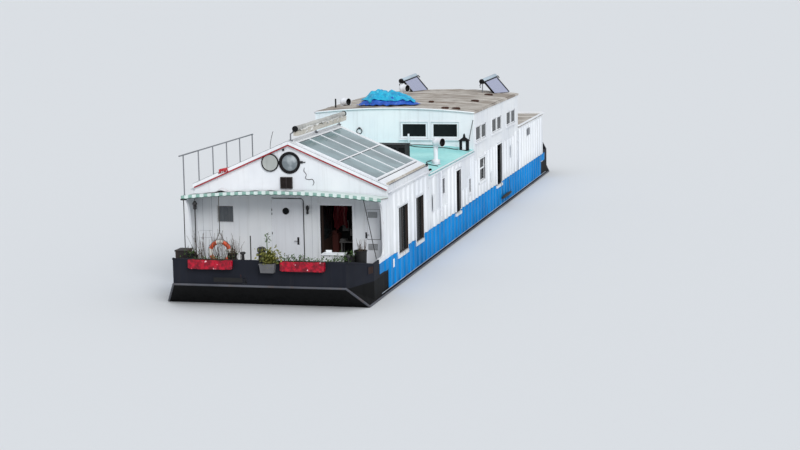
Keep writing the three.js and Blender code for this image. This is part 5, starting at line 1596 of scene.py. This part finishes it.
leaf_finish("twig_brown", (0.36, 0.29, 0.22), (0.2, 0.16, 0.13))
mushroom = [(0, 1.976), (0.05, 1.976), (0.04, 2.14), (0.045, 2.17), (0.075, 2.18), (0.085, 2.21),
            (0.06, 2.235), (0, 2.24)]
piece("mooring_mushroom", turned_form(mushroom, (-0.458, -END + 0.05, 0), sides=24), "steel_dark",
      smooth=True)
stump = [(0, DECK_LEVEL), (0.1, DECK_LEVEL), (0.09, 2.18), (0.12, 2.2), (0.125, 2.3), (0.08, 2.335),
         (0, 2.34)]
piece("black_bollard", [turned_form(stump, (-0.005, -END + 0.35, 0), sides=24),
                        blocks([(-0.145, 0.135, -END + 0.3, -END + 0.4, 2.08, 2.15)])], "steel_dark",
      bevel=0.004)
piece("deck_stake", rod((-0.31, -END + 0.3, DECK_LEVEL), (-0.3, -END + 0.28, 2.66), 0.017, 10), "steel_dark",
      smooth=True)
corner_post = [(0, 1.97), (0.028, 1.97), (0.024, 2.12), (0.05, 2.14), (0.055, 2.18), (0.035, 2.21),
               (0, 2.215)]
piece("corner_post", turned_form(corner_post, (2.6, -END + 0.1, 0), sides=20), "steel_dark", smooth=True)
piece("deck_buckets", [bucket(*pail) for pail in PAILS], "rubber", bevel=0.002)
piece("bucket_earth", [turned_form([(0, z - 0.08), (r * 0.93, z - 0.08), (r * 0.93, z - 0.05), (0, z - 0.03)],
                                   (x, y, 0), sides=20) for x, y, r, z in PAILS], "earth")
bench = [(1.56, 2.24, -16.1, -15.72, 2.075 - 0.035, 2.075), (1.58, 1.64, -16.08, -15.74, DECK_LEVEL, 2.04),
         (2.16, 2.22, -16.08, -15.74, DECK_LEVEL, 2.04), (1.64, 2.16, -16.06, -16.03, 1.86, 2.04),
         (1.6, 1.78, -15.7, -15.68, 2.04, 2.13)]
piece("deck_bench", blocks(bench), "frame_white", bevel=0.008)
crate = [(-2.96, -2.6, -15.75, -15.3, DECK_LEVEL, 1.99), (-2.98, -2.58, -15.77, -15.28, 1.99, 2.03)]
piece("deck_crate", blocks(crate), "brown_black", bevel=0.01)
piece("dry_twigs", [twigs((-1.4, -16.4, DECK_LEVEL + 0.5), (1.3, 0.5), 70, 0.95, 31),
                    twigs((-0.95, -16.45, 1.98), (0.18, 0.18), 22, 0.55, 32),
                    twigs((-2.3, -16.2, 1.95), (0.22, 0.2), 20, 0.32, 33),
                    twigs((2.66, -15.8, 2.08), (0.25, 0.2), 22, 0.42, 34),
                    twigs((0.95, -17.1, boxes_top - 0.03), (0.9, 0.12), 26, 0.22, 35)], "twig_brown")
piece("deck_leaves", [leaf_cloud((2.15, -16.35, 1.95), (0.4, 0.25, 0.13), 150, 0.075, 21),
                      leaf_cloud((2.38, -15.95, 2.04), (0.22, 0.22, 0.12), 60, 0.07, 22),
                      leaf_cloud((-2.3, -16.2, 2.06), (0.24, 0.22, 0.12), 60, 0.07, 23),
                      leaf_cloud((-0.95, -16.45, 2.1), (0.2, 0.2, 0.1), 40, 0.06, 24)], "green_leaf")
piece("leaf_stems", [rod((x, y, DECK_LEVEL), (x + 0.02, y, z), 0.012, 8) for x, y,
                     z in ((2.0, -16.35, 1.98), (2.25, -16.35, 2.0), (1.9, -16.3, 1.95))], "twig_brown")

# %% [markdown]
# ## On the near wall
# A small lamp hangs beside the door, a taller lantern under the canopy's corner, and
# two thin stays run from the canopy's corners to the deck. The stays are taut, so they are
# plain rods. A thin cable is clipped to the gable in small bends.

# %% Lamps, stays and cable
lamp_x = 0.556
lamp = [(0, 3.165), (0.035, 3.15), (0.048, 3.11), (0.05, 3.05), (0.035, 3.03), (0.028, 2.97), (0.04, 2.93),
        (0.018, 2.9), (0, 2.898)]
piece("wall_lamp", [turned_form(lamp, (lamp_x, FORE - 0.075, 0), sides=20),
                    blocks([(lamp_x - 0.025, lamp_x + 0.025, FORE - 0.07, FORE - 0.001, 3.08, 3.12)])],
      "steel_dark")
lantern_x, lantern_y = -2.68, FORE - 0.86
lantern_hook = float(canopy_point(-0.88, 0.86)[2]) - 0.02
lantern = [(0, 3.36), (0.03, 3.35), (0.075, 3.27), (0.08, 3.25), (0.055, 3.24), (0.05, 3.14), (0.06, 3.12),
           (0.02, 3.09), (0, 3.09)]
piece("corner_lantern", [turned_form(lantern, (lantern_x, lantern_y, 0), sides=20),
                         rod((lantern_x, lantern_y, 3.09), (lantern_x - 0.01, lantern_y, DECK_LEVEL), 0.018,
                             10),
                         rod((lantern_x, lantern_y, 3.35), (lantern_x, lantern_y, lantern_hook), 0.008, 8)],
      "steel_dark", smooth=True)
cap_z = float(canopy_point(-0.985, 0.95)[2]) - 0.13
pole_x, pole_y = -2.99, FORE - 0.955
pole_cap = [(0, cap_z), (0.09, cap_z), (0.1, cap_z + 0.02), (0.04, cap_z + 0.07), (0, cap_z + 0.08)]
stay_top = (2.5, FORE - 0.94, float(canopy_point(0.82, 0.94)[2]) - 0.03)
piece("canopy_stays", [rod((pole_x, pole_y, 1.74), (pole_x, pole_y, cap_z), 0.014, 10),
                       turned_form(pole_cap, (pole_x, pole_y, 0), sides=20),
                       rod(stay_top, (2.88, FORE - 0.98, 1.74), 0.011, 10)], "steel_dark",
      smooth=True)
cable_way = smooth_route([(0.47, 4.27), (0.46, 4.17), (0.53, 4.07), (0.5, 3.96), (0.6, 3.92), (0.71, 3.93),
                          (0.76, 3.84), (0.72, 3.75)], 60)
piece("gable_cable", tube(np.insert(cable_way, 1, FORE - 0.009, axis=1), 0.0075, 8, (0, 1, 0)), "steel_dark",
      smooth=True)
fittings = [(x - 0.012, x + 0.012, FORE - 0.018, FORE - 0.0005, z - 0.008, z + 0.008) for x,
            z in cable_way[8:60:14]]
fittings += [(-0.19, -0.13, FORE - 0.04, FORE - 0.001, 4.77, 4.83),
             (0.42, 0.51, FORE - 0.03, FORE - 0.001, 4.42, 4.445),
             (0.335, 0.43, FORE - 0.035, FORE - 0.001, 4.4, 4.47)]
piece("gable_fittings", blocks(fittings), "steel_dark", bevel=0.003)
WHIP_Y = FORE + 0.05
whip = smooth_route([(-0.59, WHIP_Y, RIDGE - SLOPE * 0.59 + 0.005), (-0.57, WHIP_Y, 5.02),
                     (-0.5, WHIP_Y, 5.3), (-0.48, WHIP_Y, 5.33)], 24)
piece("gable_whip", tube(whip, 0.008, 8, (0, 1, 0)), "steel_dark", smooth=True)
seam_rows = [(-2.765, -2.753, -0.004, -0.0004, 1.6, 3.3), (-2.475, -2.463, -0.004, -0.0004, 1.6, 3.36),
             (-2.9, -2.47, -0.004, -0.0004, 2.335, 2.345), (-2.9, -2.47, -0.004, -0.0004, 2.115, 2.125),
             (0.66, 0.668, -0.003, -0.0004, 1.33, 3.5)]
piece("wall_seams", on_fore(blocks(seam_rows)), "seam_grey")

# %% [markdown]
# ## Inside the doorway
# The entry stands open, and a dim room shows: a light floor, a reddish brown chest and a red
# cloth on a rail. The room is a box of boards coloured near black as painted shade, so no daylight
# comes through. All that stands in it is kept behind the quarter circle that the entry door sweeps.

# %% A glimpse of the room
IN = FORE + WALL
room = [(0.8, 2.1, IN + 1.6, IN + 1.64, DECK_LEVEL, 3.24), (2.06, 2.1, IN + 0.02, IN + 1.6, DECK_LEVEL, 3.24),
        (0.8, 0.84, IN + 1.02, IN + 1.6, DECK_LEVEL, 3.24), (0.8, 2.1, IN + 0.02, IN + 1.64, 3.24, 3.28)]
# The boards are near black: painted shade of the dim room
piece("room_boards", blocks(room), "rubber")
piece("room_floor", blocks([(0.99, 2.06, IN + 0.02, IN + 1.02, DECK_LEVEL + 0.001, DECK_LEVEL + 0.02),
                            (0.84, 2.06, IN + 1.02, IN + 1.6, DECK_LEVEL + 0.001, DECK_LEVEL + 0.02)]),
      "floor_boards")
piece("room_chest", [soft_block((0.9, IN + 1.06, DECK_LEVEL + 0.02), (1.14, IN + 1.46, 2.13), 0.2),
                     blocks([(0.93, 1.08, IN + 1.1, IN + 1.4, 2.12, 2.22),
                             (0.96, 1.1, IN + 1.55, IN + 1.6, 2.6, 2.95)])], "chest_wood")
# The table's top and legs, then the things on it and on the wall behind
table = [(1.16, 1.78, IN + 1.06, IN + 1.45, 1.86, 1.89)]
table += [(x, x + 0.04, IN + y, IN + y + 0.04, 1.32, 1.86) for y in (1.1, 1.38) for x in (1.2, 1.7)]
table += [(1.18, 1.36, IN + 1.1, IN + 1.3, 1.89, 1.97), (1.14, 1.34, IN + 1.52, IN + 1.6, 2.15, 2.5),
          (1.38, 1.6, IN + 1.52, IN + 1.6, 2.0, 2.2)]
piece("room_table", blocks(table), "pale_things", bevel=0.005)
RAIL_Y = IN + 1.1
cloth_u = np.linspace(0, 1, 60)[None, :]
cloth_v = np.linspace(0, 1, 30)[:, None]
cloth_x = 0.99 + 0.42 * cloth_u + 0.02 * np.sin(cloth_v * 9)
cloth_y = RAIL_Y + 0.035 * np.sin(cloth_u * 26) * (0.3 + cloth_v)
cloth_z = 3.05 - 0.72 * cloth_v - 0.07 * cloth_v * np.sin(cloth_u * 7)
red_cloth_shape = woven(np.stack([cloth_x, cloth_y, cloth_z], -1))
sheet(piece("room_cloth", red_cloth_shape, "red_weave", smooth=True), red_cloth_shape, width=0.74,
      held="hung", rests_on=["room_rail"])
piece("room_rail", rod((0.84, RAIL_Y, 3.055), (2.06, RAIL_Y, 3.055), 0.012, 10), "steel_dark")

# %% [markdown]
# ## The drain slot
# The end plate of the hull has a long drain slot: a welded rim round a black plate that is painted
# shade in the slot.

# %% Drain slot
slot_rows = frame_rows(-1.36, -0.45, 1.34, 1.52, 0.022, -0.012, -0.0005)
piece("drain_rim", on_fore(blocks(slot_rows), -END), "hull_paint", bevel=0.003)
# A black plate in the slot: painted shade
piece("drain_shade", on_fore(plates(-0.004, -0.0005, (-1.34, -0.47, 1.36, 1.5)), -END), "rubber")

# %% [markdown]
# ## The skylight's lower edge
# Below the glass comes a gap whose shadow is a black strip of painted shade, a narrow white ledge,
# then an upright face that water has stained beige, and a thin rail with a dark cap at its far end.
# They run along the slope's foot.

# %% Ledge, stained face and rail
ledge_y = (FORE + 0.12, LIGHT_END + 0.06)
face_top = RIDGE - SLOPE * 2.95
# A black strip in the gap under the glass: painted shadow
piece("skylight_gap_shadow", on_slope(blocks([(2.683, 2.712, *ledge_y, 0.0008, 0.012)])), "rubber")
piece("skylight_ledge", on_slope(blocks([(2.715, 2.93, *ledge_y, 0.0008, 0.022)])), "frame_white",
      bevel=0.004)
piece("stained_face", blocks([(2.935, 2.955, *ledge_y, face_top, face_top + 0.055),
                              (2.955, 2.995, *ledge_y, face_top - 0.012, face_top + 0.012)]), "stained",
      bevel=0.003)
piece("eaves_rail", rod(*((3.035, y, face_top + 0.01) for y in ledge_y), 0.014, 10), "galvanised",
      smooth=True)
piece("eaves_rail_cap", disc(0.045, ledge_y[1], ledge_y[1] + 0.07, (3.005, 0, face_top + 0.01), 1, 18),
      "black_paint")
ridge_cap = [(x, x + 0.09, FORE - 0.05, ROOM_END, 0.0008, 0.012) for x in (-0.09, 0.0)]
piece("ridge_cap", on_slope(blocks(ridge_cap)), "frame_white", bevel=0.003)
laps = [(-2.9, -0.1, y - 0.004, y + 0.004, 0.0006, 0.006) for y in np.arange(FORE + 0.9, ROOM_END, 0.9)]
piece("roof_laps", on_slope(blocks(laps)), "seam_grey")

# %% [markdown]
# ## The skirt's edges
# A pale line runs along the blue's foot. The bulwark's side is white above the blue, and the corner
# plate has a rusty recess. The line is a thin pale grey tube just outside the ribs.

# %% Pale line, white band and recess
skirt_low, skirt_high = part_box("skirt_right")
foot_x, foot_z = skirt_high[0] - 0.004, skirt_low[2] + 0.012
foot_line = dense([(foot_x, skirt_low[1] + 0.02, foot_z), (foot_x, skirt_high[1] - 0.02, foot_z)], 0.6)
piece("skirt_foot_line", mirrored_pair(tube(foot_line, 0.01, 8)), "pale_line_grey", smooth=True)


def on_corner(rows, proud=0.006):
    """Blocks on the right front corner plate: rows of u0, u1, z0, z1 with u along the plate from
    its front edge, in metres."""
    along = np.array([HALF - END_HALF, CORNER_RUN, 0.0])
    along /= np.linalg.norm(along)
    outward = np.array([along[1], -along[0], 0.0])
    points, faces = plates(0.0005, proud, *rows)
    start = np.array([END_HALF, -END, 0.0])
    return start + points[:, :1] * along + points[:, 1:2] * outward + points[:, 2:] * (0, 0, 1), faces[:,
                                                                                                       ::-1]


band_x = float(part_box("bulwark_fore")[1][0])
white_band = [(band_x + x0, band_x + x1, -15.05, FORE - 0.002, z0, z1) for x0, x1, z0,
              z1 in ((0.0005, 0.006, 1.645, 1.7315), (-0.075, 0.006, 1.7705, 1.776),
                     (0.0005, 0.006, 1.7315, 1.7705), (-0.079, -0.075, 1.62, 1.776))]
piece("bulwark_band", mirrored_pair(blocks(white_band)), "frame_white", bevel=0.0015)
piece("corner_recess", on_corner([(1.12, 1.38, 1.5, 1.7)]), "rust_brown")
rim = [(1.09, 1.41, 1.7, 1.72), (1.09, 1.41, 1.48, 1.5), (1.09, 1.12, 1.5, 1.7), (1.38, 1.41, 1.5, 1.7)]
piece("corner_recess_rim", on_corner(rim, 0.014), "hull_paint", bevel=0.002)

# %% [markdown]
# ## The canopy's top
# A pale dust sheet lies over the canopy's back half, pushed up into one small peak on the left. It
# follows the arch, a few millimetres above it, and its front edge wanders.

# %% Dust sheet
def dust_sheet():
    """A strip on the canopy's arch: 6 mm above it, plus one peak and ripples that grow outwards."""
    share = np.linspace(-0.94, 0.16, 160)[None, :]
    out = np.linspace(0, 1, 24)[:, None]
    reach = 0.8 + 0.05 * np.sin(share * 9) + 0.02 * np.sin(share * 31)
    peak = 0.13 * np.exp(-((share + 0.62) / 0.05) ** 2 - ((out - 0.7) / 0.3) ** 2)
    ripple = 0.01 * (1 + np.sin(share * 40 + 6 * out)) * out
    rise = np.stack([0 * peak, 0 * peak, 0.006 + peak + ripple], -1)
    return woven(canopy_point(share + 0 * out, 0.04 + out * reach) + rise)


dust_shape = dust_sheet()
sheet(piece("canopy_dust_sheet", dust_shape, "dust_cloth", smooth=True), dust_shape, 0.002, width=0.85,
      held="laid", rests_on=["canopy_canvas"])

# %% [markdown]
# ## The left side and the far end
# These sides aren't in the photograph. They get the same kinds of things as the sides that are: a
# white edge along the roof, a lamp by the far door, tyres on the left side and mooring posts, so
# that the boat looks finished from every side.

# %% Far end and left side
TYRES_Y = (-9.0, 2.4, 10.8)
piece("far_door_frame", on_aft(blocks(jambs(-0.52, 0.52, DECK_LEVEL, 3.34, 0.07, -0.02))), "frame_white",
      bevel=0.005)
door_port(("far_door_port", "far_port_pane"), 0.0, "aft_door", on_aft)
far_lamp = [(0, 3.15), (0.05, 3.12), (0.055, 3.04), (0.03, 2.98), (0, 2.975)]
piece("far_lamp", [turned_form(far_lamp, (0.8, AFT + 0.07, 0), sides=20),
                   blocks([(0.77, 0.83, AFT + 0.001, AFT + 0.06, 3.08, 3.12)])], "steel_dark")
far_post = [(0, 1.97), (0.05, 1.97), (0.04, 2.12), (0.045, 2.15), (0.08, 2.165), (0.085, 2.19), (0.05, 2.215),
            (0, 2.22)]
piece("far_mushrooms", [turned_form(far_post, (x, END - 0.06, 0), sides=24) for x in (-1.4, 1.4)],
      "steel_dark", smooth=True)
tyre = spun(torus((0, 0, 0), 0.22, 0.075, 40, 14, 1.1), 2, 90)
piece("left_tyres", [moved(tyre, (-(HALF + 0.1), y, 1.12)) for y in TYRES_Y], "rubber", smooth=True)
tyre_lines = [rod((-(HALF + 0.085), y + s * 0.05, 1.34), (-(HALF + 0.07), y + s * 0.02, 1.66), 0.008, 8)
              for y in TYRES_Y for s in (-1, 1)]
piece("tyre_lines", tyre_lines, "rope_grey", smooth=True)
side_edge = blocks([(HALF + 0.001, HALF + 0.064, CABIN_AFT, AFT, 3.47, 3.53)])
piece("aft_roof_edge", [blocks([(-HALF - 0.03, HALF + 0.03, AFT - 0.02, AFT + 0.035, 3.47, 3.54)]),
                        mirrored_pair(side_edge)], "frame_white", bevel=0.004)

# %% [markdown]
# ## Wear on the side
# The cladding is patched in a few places with flat plates. Screws along the blue's upper edge,
# drip strips over the openings and rain pipes are what the eye takes for scale.

# %% Drip strips, plates and screws
# Each opening of the long side: where it starts and ends, and its upper edge
SIDE_OPENINGS = [(-12.85, -11.68, 2.96), (-10.58, -9.56, 2.95), (-6.78, -6.32, 3.12), (-4.5, -3.7, 3.12),
                 (-0.3, 0.76, 3.06), (3.17, 4.23, 3.24)]
PIPES_Y = (-7.1, 7.9)
strips = plates(-0.085, -0.052, *((y0 - 0.09, y1 + 0.09, z + 0.055, z + 0.067) for y0, y1,
                                  z in SIDE_OPENINGS))
piece("drip_strips", mirrored_pair(on_right(strips)), "frame_white", bevel=0.002)
screws = [(y - 0.009, y + 0.009, 1.575, 1.593) for y in np.arange(-13.6, 14.5, 0.295)
          if not any(y0 - 0.2 < y < y1 + 0.2 for y0, y1, _ in SIDE_OPENINGS)]
piece("skirt_screws", mirrored_pair(on_right(plates(-0.066, -0.0605, *screws))), "galvanised")
patches = plates(-0.058, -0.052, (-8.2, -7.75, 2.2, 2.75), (1.75, 2.35, 1.95, 2.3), (6.1, 6.5, 2.4, 2.9))
piece("patch_plates", on_right(patches), "side_white", bevel=0.002)
pipes = [rod((HALF + 0.085, y, low), (HALF + 0.085, y, 3.4), 0.028, 12) for y,
         low in zip(PIPES_Y, (1.9, 1.7))]
brackets = blocks([(HALF + 0.05, HALF + 0.118, y - 0.04, y + 0.04, z - 0.012, z + 0.012) for y in PIPES_Y
                   for z in (2.1, 2.9)])
piece("rain_pipes", mirrored_pair(joined([*pipes, brackets])), "frame_white")

# %% [markdown]
# ## The studio
# A pale floor, a pale sky all round and one broad soft light give the even shade of an overcast
# day, with the gable end brighter than the long side.

# %% Floor and light
def studio_floor(reach=2500.0):
    floor_finish = Finish("floor", Roughness=0.9)
    floor_finish.colour(srgb(0.86, 0.87, 0.88))
    mesh = bpy.data.meshes.new("floor")
    mesh.from_pydata([(-reach, -reach, WATER), (reach, -reach, WATER), (reach, reach, WATER),
                      (-reach, reach, WATER)], [], [(0, 1, 2, 3)])
    mesh.materials.append(floor_finish.material)
    floor = bpy.data.objects.new("floor", mesh)
    bpy.context.scene.collection.objects.link(floor)


def studio_light(energy, angle, turn):
    lamp = bpy.data.lights.new("soft_light", "SUN")
    lamp.energy, lamp.angle = energy, math.radians(angle)
    light = bpy.data.objects.new("soft_light", lamp)
    light.rotation_euler = [math.radians(part) for part in turn]
    bpy.context.scene.collection.objects.link(light)


SKY_STRENGTH = 0.72
world = bpy.data.worlds.new("sky")
world.use_nodes = True
world.node_tree.nodes["Background"].inputs["Color"].default_value = (0.93, 0.96, 1.0, 1.0)
world.node_tree.nodes["Background"].inputs["Strength"].default_value = SKY_STRENGTH
bpy.context.scene.world = world
bpy.context.scene.view_settings.view_transform = "Standard"
studio_floor()
studio_light(1.75, 30, (56, 0, 34))
print("studio ready")
